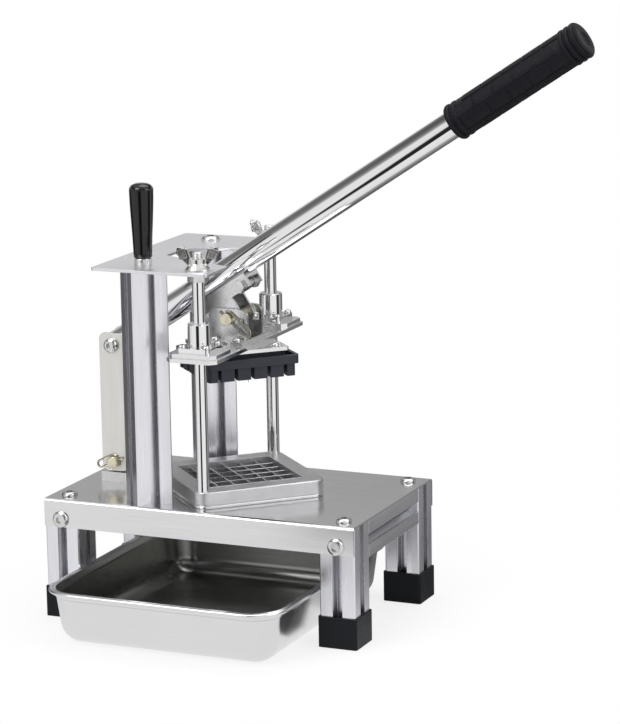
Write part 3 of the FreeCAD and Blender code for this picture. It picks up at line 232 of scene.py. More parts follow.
class Wires:
    """Adds nodes to a tree and links them by name."""

    def __init__(self, tree):
        self.tree = tree

    def add(self, kind, settings=None, **sockets):
        """A new node, its settings set and its sockets fed."""
        node = self.tree.nodes.new(kind)
        for key, value in (settings or {}).items():
            setattr(node, key, value)
        for key, value in sockets.items():
            self.feed(node, key, value)
        return node

    def feed(self, node, key, value):
        """Links or sets a socket, named by its label or as i and its number."""
        numbered = key[0] == "i" and key[1:].isdigit()
        socket = node.inputs[int(key[1:]) if numbered else key.replace("_", " ")]
        if isinstance(value, bpy.types.NodeSocket):
            self.tree.links.new(value, socket)
        elif isinstance(value, bpy.types.Node):
            self.tree.links.new(value.outputs[0], socket)
        else:
            socket.default_value = value

    def given(self):
        """The sockets that the tree's user feeds."""
        return self.tree.nodes.new("NodeGroupInput").outputs

    def give(self, *values):
        """Puts these out of the tree, in the order of its outputs."""
        outlet = self.tree.nodes.new("NodeGroupOutput")
        for place, value in enumerate(values):
            self.feed(outlet, "i%d" % place, value)

    def math(self, operation, first, second=0.0):
        """One sum of two numbers."""
        return self.add("ShaderNodeMath", {"operation": operation}, i0=first, i1=second)

    def vector(self, x=0.0, y=0.0, z=0.0):
        """A vector from three numbers."""
        return self.add("ShaderNodeCombineXYZ", i0=x, i1=y, i2=z)

    def map_range(self, value, low, high, to_low=0.0, to_high=1.0):
        """A value's place between low and high, laid between two others."""
        return self.add("ShaderNodeMapRange", Value=value, From_Min=low, From_Max=high,
                        To_Min=to_low, To_Max=to_high)

    def ramp(self, share, stops):
        """A grey ramp over a share from 0 to 1."""
        node = self.add("ShaderNodeValToRGB", i0=share)
        band = node.color_ramp
        band.elements.remove(band.elements[-1])
        band.elements[0].position = stops[0][0]
        band.elements[0].color = (stops[0][1],) * 3 + (1.0,)
        for place, grey in stops[1:]:
            band.elements.new(place).color = (grey, grey, grey, 1.0)
        return node

    def either(self, share, first, second):
        """One number that turns into the other as share goes from 0 to 1."""
        return self.add("ShaderNodeMix", {"data_type": "FLOAT"}, i0=share, i2=first, i3=second)

    def blend(self, share, first, second):
        """One shader that turns into the other as share goes from 0 to 1."""
        return self.add("ShaderNodeMixShader", i0=share, i1=first, i2=second)


def new_tree(name, **inputs):
    """A geometry tree with named inputs and one geometry output."""
    tree = bpy.data.node_groups.new(name, "GeometryNodeTree")
    for label, kind in inputs.items():
        tree.interface.new_socket(name=label, in_out="INPUT", socket_type="NodeSocket" + kind)
    tree.interface.new_socket(name="Geometry", in_out="OUTPUT",
                              socket_type="NodeSocketGeometry")
    return tree


def grown(tree, name, values):
    """The plain mesh that a geometry tree grows with these inputs."""
    host = new_object(name, bpy.data.meshes.new(name + "_seed"))
    modifier = host.modifiers.new(name, "NODES")
    modifier.node_group = tree
    for item in tree.interface.items_tree:
        if item.in_out == "INPUT" and item.name in values:
            modifier[item.identifier] = values[item.name]
    bpy.context.view_layer.update()
    graph = bpy.context.evaluated_depsgraph_get()
    mesh = bpy.data.meshes.new_from_object(host.evaluated_get(graph))
    bpy.data.objects.remove(host)
    mesh.name = name
    return mesh


def grip_block_tree():
    """Bricks laid in staggered rows and wrapped round a cylinder."""
    tree = new_tree("grip_blocks", Along="Int", Around="Int", Pitch="Float", Radius="Float",
                    Gap="Float", Rise="Float", Material="Material")
    w = Wires(tree)
    given = w.given()
    round_length = w.math("MULTIPLY", given["Radius"], 2 * math.pi)
    cell = w.math("DIVIDE", round_length, given["Around"])
    length = w.math("MULTIPLY", w.math("SUBTRACT", given["Along"], 1.0), given["Pitch"])
    width = w.math("MULTIPLY", w.math("SUBTRACT", given["Around"], 1.0), cell)
    grid = w.add("GeometryNodeMeshGrid", Size_X=length, Size_Y=width,
                 Vertices_X=given["Along"], Vertices_Y=given["Around"])
    place = w.add("ShaderNodeSeparateXYZ", i0=w.add("GeometryNodeInputPosition"))
    from_edge = w.math("ADD", place.outputs[1], w.math("DIVIDE", width, 2.0))
    odd = w.math("MODULO", w.math("ROUND", w.math("DIVIDE", from_edge, cell)), 2.0)
    shift = w.math("MULTIPLY", w.math("SUBTRACT", odd, 0.5),
                   w.math("MULTIPLY", given["Pitch"], 0.5))
    staggered = w.add("GeometryNodeSetPosition", Geometry=grid, Offset=w.vector(x=shift))
    size = w.vector(w.math("SUBTRACT", given["Pitch"], given["Gap"]),
                    w.math("SUBTRACT", cell, given["Gap"]), given["Rise"])
    brick = w.add("GeometryNodeMeshCube", Size=size, Vertices_X=5, Vertices_Y=5, Vertices_Z=2)
    laid = w.add("GeometryNodeInstanceOnPoints", Points=staggered, Instance=brick)
    real = w.add("GeometryNodeRealizeInstances", Geometry=laid)
    flat = w.add("ShaderNodeSeparateXYZ", i0=w.add("GeometryNodeInputPosition"))
    angle = w.math("DIVIDE", flat.outputs[1], given["Radius"])
    reach = w.math("ADD", flat.outputs[2], given["Radius"])
    wrapped = w.vector(flat.outputs[0], w.math("MULTIPLY", reach, w.math("SINE", angle)),
                       w.math("MULTIPLY", reach, w.math("COSINE", angle)))
    bent = w.add("GeometryNodeSetPosition", Geometry=real, Position=wrapped)
    w.give(w.add("GeometryNodeSetMaterial", Geometry=bent, Material=given["Material"]))
    return tree


def knurl_tree():
    """A field of small pyramids that points along Z."""
    tree = new_tree("knurl_field", Length="Float", Height="Float", Columns="Int", Rows="Int",
                    Rise="Float", Material="Material")
    w = Wires(tree)
    given = w.given()
    grid = w.add("GeometryNodeMeshGrid", Size_X=given["Length"], Size_Y=given["Height"],
                 Vertices_X=given["Columns"], Vertices_Y=given["Rows"])
    pitch = w.math("DIVIDE", given["Length"], w.math("SUBTRACT", given["Columns"], 1.0))
    tooth = w.add("GeometryNodeMeshCone", Vertices=4, Depth=given["Rise"],
                  Radius_Top=w.math("MULTIPLY", pitch, 0.12),
                  Radius_Bottom=w.math("MULTIPLY", pitch, 0.6))
    laid = w.add("GeometryNodeInstanceOnPoints", Points=grid, Instance=tooth)
    real = w.add("GeometryNodeRealizeInstances", Geometry=laid)
    w.give(w.add("GeometryNodeSetMaterial", Geometry=real, Material=given["Material"]))
    return tree


def thread_tree():
    """A screw thread: a small section swept along a helix."""
    tree = new_tree("screw_thread", Radius="Float", Pitch="Float", Turns="Float",
                    Depth="Float", Material="Material")
    w = Wires(tree)
    given = w.given()
    helix = w.add("GeometryNodeCurveSpiral", Resolution=20, Rotations=given["Turns"],
                  Start_Radius=given["Radius"], End_Radius=given["Radius"],
                  Height=w.math("MULTIPLY", given["Turns"], given["Pitch"]))
    section = w.add("GeometryNodeCurvePrimitiveCircle", Resolution=4, Radius=given["Depth"])
    swept = w.add("GeometryNodeCurveToMesh", Curve=helix, Profile_Curve=section,
                  Fill_Caps=True)
    real = w.add("GeometryNodeRealizeInstances", Geometry=swept)
    w.give(w.add("GeometryNodeSetMaterial", Geometry=real, Material=given["Material"]))
    return tree


# Finishes

METAL = 1.0
PLASTIC = 0.0
EVENLY = (1.0, 1.0, 1.0)
ALONG_X = (0.03, 1.0, 1.0)
ALONG_Y = (1.0, 0.03, 1.0)
ALONG_Z = (1.0, 1.0, 0.03)
NOISE_LOW, NOISE_HIGH = 0.3, 0.7
RELIEF_DEPTH = 0.4 * MM
GROUPS = {}
FINISHES = {}


def effect_group(name, inputs, outputs):
    """An empty shader group with named inputs (kind, value) and number outputs."""
    group = bpy.data.node_groups.new(name, "ShaderNodeTree")
    for label, (kind, value) in inputs.items():
        socket = group.interface.new_socket(name=label, in_out="INPUT",
                                            socket_type="NodeSocket" + kind)
        if value is not None:
            socket.default_value = value
    for label in outputs:
        group.interface.new_socket(name=label, in_out="OUTPUT", socket_type="NodeSocketFloat")
    return group


def grain_group():
    """Fine lines drawn out along one direction, with broader streaks among them."""
    group = effect_group("drawn_grain", {
        "Vector": ("Vector", None), "Stretch": ("Vector", EVENLY), "Scale": ("Float", 900.0),
    }, ["Fine", "Streak"])
    w = Wires(group)
    given = w.given()
    laid = w.add("ShaderNodeVectorMath", {"operation": "MULTIPLY"}, i0=given["Vector"],
                 i1=given["Stretch"])
    fine = w.add("ShaderNodeTexNoise", Vector=laid, Scale=given["Scale"], Detail=3.0,
                 Roughness=0.6)
    broad = w.add("ShaderNodeTexNoise", Vector=laid, Detail=2.0, Roughness=0.5,
                  Scale=w.math("MULTIPLY", given["Scale"], 0.16))
    w.give(fine, broad)
    return group


def handling_group():
    """Cloudy smudges and sparse fine specks, as on metal that has been wiped and used."""
    group = effect_group("handling_marks", {
        "Vector": ("Vector", None), "Cloud Scale": ("Float", 25.0),
        "Speck Scale": ("Float", 700.0),
    }, ["Cloud", "Specks"])
    w = Wires(group)
    given = w.given()
    cloud = w.add("ShaderNodeTexNoise", Vector=given["Vector"], Scale=given["Cloud Scale"],
                  Detail=4.0, Roughness=0.55, Distortion=0.6)
    specks = w.add("ShaderNodeTexVoronoi", Vector=given["Vector"], Scale=given["Speck Scale"])
    w.give(cloud, w.map_range(specks.outputs["Distance"], 0.05, 0.16, 1.0, 0.0))
    return group


def empty_material(name):
    """A material with nothing in its tree, and the tree's wires."""
    material = bpy.data.materials.new(name)
    material.use_nodes = True
    material.node_tree.nodes.clear()
    return material, Wires(material.node_tree)


def surface(name, colour, metallic, rough, stretch=EVENLY, grain=900.0, shade=0.08,
            rough_play=0.06, bump=0.05, cloud=25.0, cloud_shade=0.06, speck=0.0,
            specular=0.5):
    """A finish with drawn grain, smudges and specks, each at its own strength."""
    material, w = empty_material(name)
    where = w.add("ShaderNodeTexCoord").outputs["Object"]
    lines = w.add("ShaderNodeGroup", {"node_tree": GROUPS["grain"]}, Vector=where,
                  Stretch=stretch, Scale=grain)
    marks = w.add("ShaderNodeGroup", {"node_tree": GROUPS["handling"]}, Vector=where,
                  Cloud_Scale=cloud)
    fine = lines.outputs["Fine"]
    smudge = marks.outputs["Cloud"]
    grained = w.map_range(fine, NOISE_LOW, NOISE_HIGH, 1 - shade, 1 + shade * 0.4)
    clouded = w.map_range(smudge, NOISE_LOW, NOISE_HIGH, 1 - cloud_shade, 1.0)
    specked = w.map_range(marks.outputs["Specks"], 0.0, 1.0, 1.0, 1.0 - speck)
    tone = w.math("MULTIPLY", w.math("MULTIPLY", grained, clouded), specked)
    toned = w.add("ShaderNodeVectorMath", {"operation": "SCALE"}, i0=tuple(colour), Scale=tone)
    streaked = w.map_range(lines.outputs["Streak"], NOISE_LOW, NOISE_HIGH,
                           rough - rough_play, rough + rough_play)
    smudged = w.math("MULTIPLY", w.math("SUBTRACT", smudge, 0.5), rough_play)
    relief = w.add("ShaderNodeBump", Strength=bump, Distance=RELIEF_DEPTH, Height=fine)
    shader = w.add("ShaderNodeBsdfPrincipled", Base_Color=toned, Metallic=metallic,
                   Roughness=w.math("ADD", streaked, smudged), Normal=relief,
                   Specular_IOR_Level=specular)
    w.add("ShaderNodeOutputMaterial", Surface=shader)
    return material


def make_finishes(colours):
    """Every finish on the cutter, by name."""
    GROUPS["grain"] = grain_group()
    GROUPS["handling"] = handling_group()
    alloy = colours.aluminium
    drawn_alloy = {"shade": 0.05, "bump": 0.05, "cloud": 18.0}
    FINISHES.update({
        "table_top": surface("satin_table_sheet", colours.steel, METAL, 0.18, ALONG_X,
                             shade=0.03, rough_play=0.03, bump=0.015, cloud=12.0,
                             cloud_shade=0.04),
        "top_sheet": surface("satin_top_plate", (0.80, 0.79, 0.82), METAL, 0.34, ALONG_Y,
                             shade=0.05, bump=0.03),
        "post": surface("anodised_post", alloy, METAL, 0.27, ALONG_Z, **drawn_alloy),
        "rail": surface("anodised_rail", alloy, METAL, 0.27, ALONG_Y, **drawn_alloy),
        "chrome": surface("polished_chrome", (0.83, 0.83, 0.84), METAL, 0.05, shade=0.02,
                          rough_play=0.02, bump=0.0, cloud_shade=0.03),
        "zinc": surface("bright_zinc", (0.74, 0.74, 0.73), METAL, 0.20, shade=0.12,
                        rough_play=0.08, bump=0.04, cloud=160.0, cloud_shade=0.16),
        "knurl": surface("dulled_knurl", (0.42, 0.41, 0.40), METAL, 0.32, shade=0.12,
                         rough_play=0.08, cloud=200.0),
        "cast": surface("satin_cast_frame", (0.66, 0.66, 0.67), METAL, 0.36, grain=1500.0,
                        shade=0.10, bump=0.20, cloud=60.0, cloud_shade=0.10, speck=0.15),
        "bright": surface("bright_rolled_plate", (0.80, 0.80, 0.81), METAL, 0.16, ALONG_Y,
                          shade=0.05, bump=0.03),
        "blade": surface("ground_blade", (0.72, 0.72, 0.74), METAL, 0.22, ALONG_Z,
                         shade=0.10, bump=0.05),
        "link": surface("satin_link_plate", (0.76, 0.75, 0.72), METAL, 0.40, ALONG_Z,
                        shade=0.06, bump=0.06, cloud=40.0),
        "bracket": surface("plated_bracket", (0.74, 0.74, 0.74), METAL, 0.22, shade=0.08,
                           bump=0.03, cloud=70.0),
        "pin": surface("passivated_pin", colours.pin, METAL, 0.25, shade=0.08,
                       rough_play=0.08, cloud=180.0, cloud_shade=0.15),
        "wire": surface("spring_wire", (0.44, 0.41, 0.34), METAL, 0.26, shade=0.12,
                        cloud=300.0, cloud_shade=0.2),
        "tray": surface("satin_tray", (0.74, 0.74, 0.75), METAL, 0.22, ALONG_X, shade=0.02,
                        rough_play=0.02, bump=0.01, cloud=9.0, cloud_shade=0.03),
        # The tray's inside is the tray's steel made darker: painted shade, not a different metal.
        "tray_inside": surface("shaded_tray_inside", (0.30, 0.30, 0.285), METAL, 0.24,
                               ALONG_X, shade=0.03, rough_play=0.03, bump=0.01, cloud=9.0),
        "pusher": surface("moulded_pusher", (0.028, 0.031, 0.043), PLASTIC, 0.38,
                          grain=2500.0, shade=0.20, bump=0.15, cloud=50.0, specular=0.30),
        "grip": surface("moulded_grip", colours.grip, PLASTIC, 0.50, grain=3000.0,
                        shade=0.25, bump=0.30, cloud=60.0, specular=0.14),
        "knob": surface("gloss_knob", (0.004, 0.004, 0.005), PLASTIC, 0.14, grain=1200.0,
                        shade=0.15, bump=0.01, specular=0.42),
        "foot": surface("moulded_foot", (0.008, 0.009, 0.012), PLASTIC, 0.46, grain=2600.0,
                        shade=0.25, bump=0.20, cloud=80.0, specular=0.16),
    })


# The nodes that get eased edges, by finish, with the width of the easing in millimetres
EASED = {
    "table_top": (["table_plate"], 0.35),
    "top_sheet": (["top_plate"], 0.35),
    "post": (["post_near", "post_far", "leg_front_left", "leg_front_right", "leg_back_left",
              "leg_back_right"], 0.25),
    "rail": (["rail_left", "rail_right"], 0.25),
    "foot": (["foot_front_left", "foot_front_right", "foot_back_left", "foot_back_right"],
             0.9),
    "bright": (["die_seat", "carriage_plate", "bush_pads", "pusher_plate"], 0.35),
    "cast": (["die_frame"], 0.3),
    "link": (["link_plate_near", "link_plate_far"], 0.5),
    "bracket": (["hitch_bracket", "carriage_clevis", "lever_lug"], 0.35),
    "pusher": (["pusher_block"], 0.35),
    "zinc": (["leg_screws", "rail_bolts", "post_screws", "post_top_screw", "side_handle_stud",
              "rod_top_nuts", "rod_base_nuts", "hitch_screws", "bush_screws",
              "clevis_screws", "pusher_screws", "lug_bolt", "rear_bolt", "rear_nut"], 0.25),
}

# The nodes that keep their own mesh, by finish
CARRIED = {
    "chrome": ["guide_rod_near", "guide_rod_far", "bush_near", "bush_far", "lever_tube"],
    "blade": ["blades_lengthwise", "blades_crosswise", "potato_spikes"],
    "pin": ["hitch_pin", "pivot_pin"],
    "wire": ["hitch_clip", "pivot_clip"],
}


def ease_nodes(scale, *finishes):
    """Stands an eased copy in for each node of these finishes."""
    for finish in finishes:
        nodes, width = EASED[finish]
        for node in nodes:
            piece = eased_copy(node + "_eased", node, width * MM * scale)
            finish_piece(piece, finish, body_of_node(node), slot_of(node), node)


def paint_nodes():
    """Puts finishes on the nodes that keep their own mesh, smooth across small facets."""
    for finish, nodes in CARRIED.items():
        for node in nodes:
            piece = NODES[node]
            faces = piece.data.polygons
            piece.data.materials.clear()
            piece.data.materials.append(FINISHES[finish])
            joined = piece.modifiers.new("joined", "WELD")
            joined.merge_threshold = WELD
            split = piece.modifiers.new("eased", "EDGE_SPLIT")
            split.split_angle = math.radians(SMOOTH_ANGLE)
            faces.foreach_set("use_smooth", [True] * len(faces))


# The tray

TRAY_LIP = 5.0 * MM
TRAY_BEAD = 1.5 * MM
BEAD_FROM = -math.pi / 2 * 1.2
BEAD_SWEEP = math.pi * 1.35
BEAD_STEPS = 10
TRAY_WALL = 1.0 * MM
TRAY_SLOPE = math.tan(math.radians(8.0))
TRAY_CORNER = 24.0 * MM
LEAST_CORNER = 2.0 * MM
FLOOR_ROUND = 14.0 * MM
FLOOR_STEPS = 8
SHADED_BELOW = 6.0 * MM
FACING_UP = 0.6

# Rings under the rim in millimetres: depth along the slope, shift inwards, drop
OUTER_RINGS = ((7.0, 0.0, 7.0), (6.0, -1.0, 6.0), (2.6, -1.0, 2.6))
INNER_RINGS = ((0.0, -0.4, 0.0), (0.6, 0.4, 0.5), (5.6, 0.2, 5.6), (6.6, 1.0, 6.6))


def make_tray():
    """A pressed tray: tapered walls, a step under the rim and a rolled edge, with painted shade
    on the inside.
    """
    centre = (TRAY_LOW + TRAY_HIGH) / 2
    top = TRAY_HIGH.z
    half_x = (TRAY_HIGH.x - TRAY_LOW.x) / 2
    half_y = (TRAY_HIGH.y - TRAY_LOW.y) / 2
    rings = []

    def wall_ring(depth, inward, height):
        shrink = TRAY_LIP + depth * TRAY_SLOPE + inward
        radius = TRAY_CORNER - depth * TRAY_SLOPE - inward
        rings.append(rounded_ring(half_x - shrink, half_y - shrink,
                                  max(radius, LEAST_CORNER), height, centre))

    def floor_ring(step, wall):
        turn = math.pi / 2 * step / FLOOR_STEPS
        bend = FLOOR_ROUND - wall
        rise = bend * (1 - math.cos(turn))
        wall_ring(top - (wall + rise), bend * (1 - math.sin(turn)) + wall, wall + rise)

    for step in range(FLOOR_STEPS + 1):
        floor_ring(step, 0.0)
    for depth, inward, drop in OUTER_RINGS:
        wall_ring(depth * MM, inward * MM, top - drop * MM)
    for step in range(BEAD_STEPS + 1):
        turn = BEAD_FROM + BEAD_SWEEP * step / BEAD_STEPS
        outward = TRAY_LIP - TRAY_BEAD + TRAY_BEAD * math.cos(turn)
        height = top - TRAY_BEAD + TRAY_BEAD * math.sin(turn)
        rings.append(rounded_ring(half_x - TRAY_LIP + outward, half_y - TRAY_LIP + outward,
                                  TRAY_CORNER + outward, height, centre))
    for depth, inward, drop in INNER_RINGS:
        wall_ring(depth * MM, inward * MM, top - drop * MM)
    for step in range(FLOOR_STEPS, -1, -1):
        floor_ring(step, TRAY_WALL)

    verts = [point for ring in rings for point in ring]
    count = len(rings[0])
    numbers = [list(range(i * count, (i + 1) * count)) for i in range(len(rings))]
    faces = skin_rings(numbers) + [numbers[0][::-1], numbers[-1]]
    piece = mesh_object("tray_pressing", verts, faces, 30.0)
    finish_piece(piece, "tray", "tray", "tray_steel", "tray")
    # Inner walls and the floor below the rim take the darker copy of the tray's steel: painted
    # shade.
    piece.data.materials.append(FINISHES["tray_inside"])
    for face in piece.data.polygons:
        to_centre = Vector((centre.x - face.center.x, centre.y - face.center.y, 0.0))
        inside = to_centre.dot(face.normal) > 0 or face.normal.z > FACING_UP
        face.material_index = 1 if inside and face.center.z < top - SHADED_BELOW else 0


# The grip, along the lever from its rear pin

GRIP_START = 353.0 * MM
GRIP_LENGTH = 125.0 * MM
GRIP_END = GRIP_START + GRIP_LENGTH
GRIP_BORE = 11.0 * MM
GRIP_SLEEVE = 13.9 * MM
GRIP_RING = 15.2 * MM
GRIP_DIP = 13.6 * MM
HALF_RING = 2.0 * MM
RING_STEPS = 6
END_RINGS = (13.4, 8.4, 3.4)

# The grip's end in millimetres: radius, distance short of the end
END_CAP = ((14.0, 0.9), (12.8, 0.0), (6.0, 0.0), (5.4, 0.6), (0.0, 0.6))


def ring_bead(middle, height):
    """The profile of one raised ring."""
    bead = []
    for step in range(RING_STEPS + 1):
        turn = math.pi * step / RING_STEPS
        bead.append((GRIP_DIP + (height - GRIP_DIP) * math.sin(turn) ** 0.6,
                     middle - HALF_RING * math.cos(turn)))
    return bead


def make_grip(sizes):
    """The moulded grip: a sleeve, ringed ends and raised bricks."""
    profile = [(GRIP_BORE, GRIP_START), (GRIP_RING - 1.0 * MM, GRIP_START)]
    profile += ring_bead(GRIP_START + 2.4 * MM, GRIP_RING)
    profile.append((GRIP_DIP, GRIP_START + 5.2 * MM))
    profile += ring_bead(GRIP_START + 8.2 * MM, GRIP_RING - 0.3 * MM)
    profile.append((GRIP_SLEEVE, GRIP_START + 11.0 * MM))
    profile.append((GRIP_SLEEVE, GRIP_END - 16.0 * MM))
    for place in END_RINGS:
        profile += ring_bead(GRIP_END - place * MM, GRIP_RING)
    profile += [(radius * MM, GRIP_END - short * MM) for radius, short in END_CAP]
    along_x = LEVER_FRAME @ Matrix.Rotation(math.pi / 2, 4, "Y")
    sleeve = lathe("grip_sleeve", profile, 72, along_x, 50.0)
    finish_piece(sleeve, "grip", "lever", "grip_rubber", "lever_grip")
    close_hole(sleeve.data)
    bricks = grown(grip_block_tree(), "grip_bricks", {
        "Along": sizes.grip_bricks_along, "Around": sizes.grip_bricks_around,
        "Pitch": 19.2 * MM, "Radius": GRIP_SLEEVE, "Gap": 1.5 * MM, "Rise": 1.3 * MM,
        "Material": FINISHES["grip"],
    })
    middle = GRIP_START + GRIP_LENGTH / 2 - 2.2 * MM
    bricks.transform(LEVER_FRAME @ Matrix.Translation(Vector((middle, 0, 0))))
    soften(bricks, 0.35 * MM)
    finish_piece(new_object("grip_bricks", bricks), "grip", "lever", "grip_rubber")


# The side handle

KNOB_BASE = 7.4 * MM
KNOB_BORE = 3.3 * MM
KNOB_CHAMFER = 0.8 * MM
KNOB_HEEL = 0.9 * MM
KNOB_DOME = 5.5 * MM
KNOB_STEPS = 16
DOME_STEPS = 8


def make_side_handle():
    """The turned knob on the near post."""
    low = HANDLE_LOW.z
    span = HANDLE_HIGH.z - low
    middle = (HANDLE_LOW + HANDLE_HIGH) / 2
    top_radius = (HANDLE_HIGH.x - HANDLE_LOW.x) / 2
    profile = [(KNOB_BORE, low), (KNOB_BASE - KNOB_CHAMFER, low), (KNOB_BASE, low + KNOB_HEEL)]
    for step in range(1, KNOB_STEPS + 1):
        along = step / KNOB_STEPS
        swell = along * along * (3 - 2 * along)
        radius = KNOB_BASE + (top_radius - KNOB_BASE) * (0.45 * along + 0.55 * swell)
        profile.append((radius, low + KNOB_HEEL + (span - KNOB_HEEL - KNOB_DOME) * along))
    for step in range(1, DOME_STEPS + 1):
        turn = math.pi / 2 * step / DOME_STEPS
        radius = top_radius * math.cos(turn) ** 0.7 if step < DOME_STEPS else 0.0
        profile.append((radius, low + span - KNOB_DOME + KNOB_DOME * math.sin(turn)))
    place = Matrix.Translation(Vector((middle.x, middle.y, 0)))
    piece = lathe("side_knob", profile, 64, place, 50.0)
    finish_piece(piece, "knob", "frame", "knob_plastic", "side_handle")
    close_hole(piece.data)


# The wing nuts

SIDES = ("near", "far")
WING_TURN = math.radians(20.0)
WING_EASING = 0.9 * MM
WING_REACH = 17.0 * MM
WING_TOP = 18.5 * MM
WING_NECK = 7.0 * MM
WING_HALF_THICKNESS = 2.5 * MM
WING_LEAN = math.atan2(WING_REACH - WING_NECK, WING_TOP * 0.8) * 0.45
KNURL_LIFT = 0.02 * MM
THREAD_PITCH = 1.25 * MM
THREAD_ROOM = 4.2 * MM
THREAD_BASE = 9.2 * MM


def nut_foot(side):
    """The middle of a wing nut's underside."""
    low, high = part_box("wing_nut_" + side)
    return Vector(((low.x + high.x) / 2, (low.y + high.y) / 2, low.z))


def make_wing_nuts():
    """Two forged wing nuts with softened wings and knurled wing faces."""
    knurls = grown(knurl_tree(), "knurl_patch", {
        "Length": 5.6 * MM, "Height": 7.0 * MM, "Columns": 6, "Rows": 8, "Rise": 0.45 * MM,
        "Material": FINISHES["knurl"],
    })
    for side in SIDES:
        node = "wing_nut_" + side
        body = "rod_wing_" + side
        placing = Matrix.Translation(nut_foot(side)) @ Matrix.Rotation(WING_TURN, 4, "Z")
        finish_piece(eased_copy(node + "_forged", node, WING_EASING, 3, 50.0), "zinc", body,
                     "zinc", node)
        mesh = bpy.data.meshes.new(node + "_knurls")
        with editing(mesh) as work:
            for wing in (1, -1):
                for face in (1, -1):
                    middle = Vector((wing * (WING_REACH + WING_NECK) / 2,
                                     face * (WING_HALF_THICKNESS + KNURL_LIFT),
                                     WING_TOP * 0.70))
                    spread = Matrix.Rotation(wing * WING_LEAN, 4, "Y")
                    upright = Matrix.Rotation(math.radians(-90.0 * face), 4, "X")
                    field = knurls.copy()
                    field.transform(placing @ Matrix.Translation(middle) @ spread @ upright)
                    work.from_mesh(field)
                    bpy.data.meshes.remove(field)
            bmesh.ops.recalc_face_normals(work, faces=work.faces)
        finish_piece(new_object(mesh.name, mesh), "knurl", body, "zinc")
    bpy.data.meshes.remove(knurls)


def make_threads():
    """Threads on the studs that stand out of the wing nuts."""
    tree = thread_tree()
    for side in SIDES:
        mesh = grown(tree, "rod_thread_" + side, {
            "Radius": 3.95 * MM, "Pitch": THREAD_PITCH, "Turns": THREAD_ROOM / THREAD_PITCH,
            "Depth": 0.35 * MM, "Material": FINISHES["zinc"],
        })
        mesh.transform(Matrix.Translation(nut_foot(side) + Vector((0, 0, THREAD_BASE))))
        finish_piece(new_object(mesh.name, mesh), "zinc", "frame", "zinc")


# Stage

CAMERA_AZIMUTH = math.radians(23.827)
CAMERA_ELEVATION = math.radians(12.048)
CAMERA_ROLL = math.radians(-0.96)
CAMERA_TARGET = Vector((64.62 * MM, 0.0, 208.92 * MM))
CAMERA_DISTANCE = 2404.455 * MM
FOCAL_PIXELS = 3000.969
PHOTO_HEIGHT = 724
SENSOR = 36.0
WHITE = (1.0, 1.0, 1.0, 1.0)
FLOOR_GREY = (0.80, 0.80, 0.81, 1.0)
FLOOR_REACH = 6.0
FLOOR_LEVEL = -0.4 * MM
WALL_RADIUS = 0.9
WALL_HEIGHT = 0.42
WALL_PANELS = 96
LAMP_AIM = Vector((0.03, 0.0, 0.18))

# Lamps: degrees round from the camera's side, height, distance, size, power
LAMPS = {
    "key_box": (-48.0, 1.7, 1.5, 1.1, 22.0),
    "fill_box": (62.0, 1.2, 1.7, 1.2, 11.0),
    "top_box": (150.0, 2.0, 0.5, 1.3, 14.0),
}

# The dome's grey for reflections, from straight down (0) to straight up (1)
DOME_TONES = ((0.0, 0.5), (0.48, 0.85), (0.62, 0.95), (0.70, 0.30), (0.79, 0.10),
              (0.86, 0.90), (1.0, 0.95))

# Degrees round from the camera's side, then the greys high and low on the wall and near
# the object on the floor
STUDIO_TONES = (
    (-180.0, 0.46, 0.10, 0.10),
    (-140.0, 0.46, 0.14, 0.14),
    (-122.0, 0.12, 0.05, 0.30),
    (-104.0, 0.10, 0.04, 0.60),
    (-97.0, 0.75, 0.75, 0.80),
    (-60.0, 0.95, 0.95, 0.95),
    (-34.0, 0.90, 0.95, 0.95),
    (-29.0, 0.03, 0.02, 0.95),
    (-7.0, 0.03, 0.02, 0.95),
    (-2.0, 0.98, 0.98, 0.95),
    (60.0, 0.98, 0.98, 0.90),
    (67.0, 0.05, 0.04, 0.60),
    (92.0, 0.07, 0.06, 0.34),
    (100.0, 0.55, 0.50, 0.26),
    (125.0, 0.38, 0.24, 0.16),
    (150.0, 0.34, 0.10, 0.10),
    (180.0, 0.46, 0.10, 0.10),
)


def make_camera():
    """The camera at the photograph's angle."""
    flat = math.cos(CAMERA_ELEVATION)
    back = Vector((math.sin(CAMERA_AZIMUTH) * flat, -math.cos(CAMERA_AZIMUTH) * flat,
                   math.sin(CAMERA_ELEVATION)))
    side = Vector((math.cos(CAMERA_AZIMUTH), math.sin(CAMERA_AZIMUTH), 0.0))
    up = back.cross(side)
    right = side * math.cos(CAMERA_ROLL) + up * math.sin(CAMERA_ROLL)
    above = up * math.cos(CAMERA_ROLL) - side * math.sin(CAMERA_ROLL)
    data = bpy.data.cameras.new("product_camera")
    data.sensor_width = SENSOR
    data.lens = FOCAL_PIXELS * SENSOR / PHOTO_HEIGHT
    data.clip_start = 0.1
    data.clip_end = 50.0
    camera = new_object("product_camera", data)
    turn = Matrix((right, above, back)).transposed().to_4x4()
    camera.matrix_world = Matrix.Translation(CAMERA_TARGET + back * CAMERA_DISTANCE) @ turn
    bpy.context.scene.camera = camera


def tone_group():
    """The studio's greys by direction round the object."""
    group = effect_group("studio_tones", {"Vector": ("Vector", None)}, ["Tone"])
    w = Wires(group)
    where = w.given()["Vector"]
    parts = w.add("ShaderNodeSeparateXYZ", i0=where)
    angle = w.math("ARCTAN2", parts.outputs[0], w.math("MULTIPLY", parts.outputs[1], -1.0))
    turned = w.math("SUBTRACT", angle, CAMERA_AZIMUTH)
    share = w.math("FRACT", w.math("ADD", w.math("DIVIDE", turned, 2 * math.pi), 1.5))
    high, low, near = [w.ramp(share, [(0.5 + row[0] / 360.0, row[column])
                                      for row in STUDIO_TONES]) for column in (1, 2, 3)]
    wall = w.either(w.map_range(parts.outputs[2], 0.17, 0.23), low, high)
    reach = w.add("ShaderNodeVectorMath", {"operation": "LENGTH"}, i0=where).outputs["Value"]
    w.give(w.either(w.map_range(reach, 0.36, 0.46), near, wall))
    return group


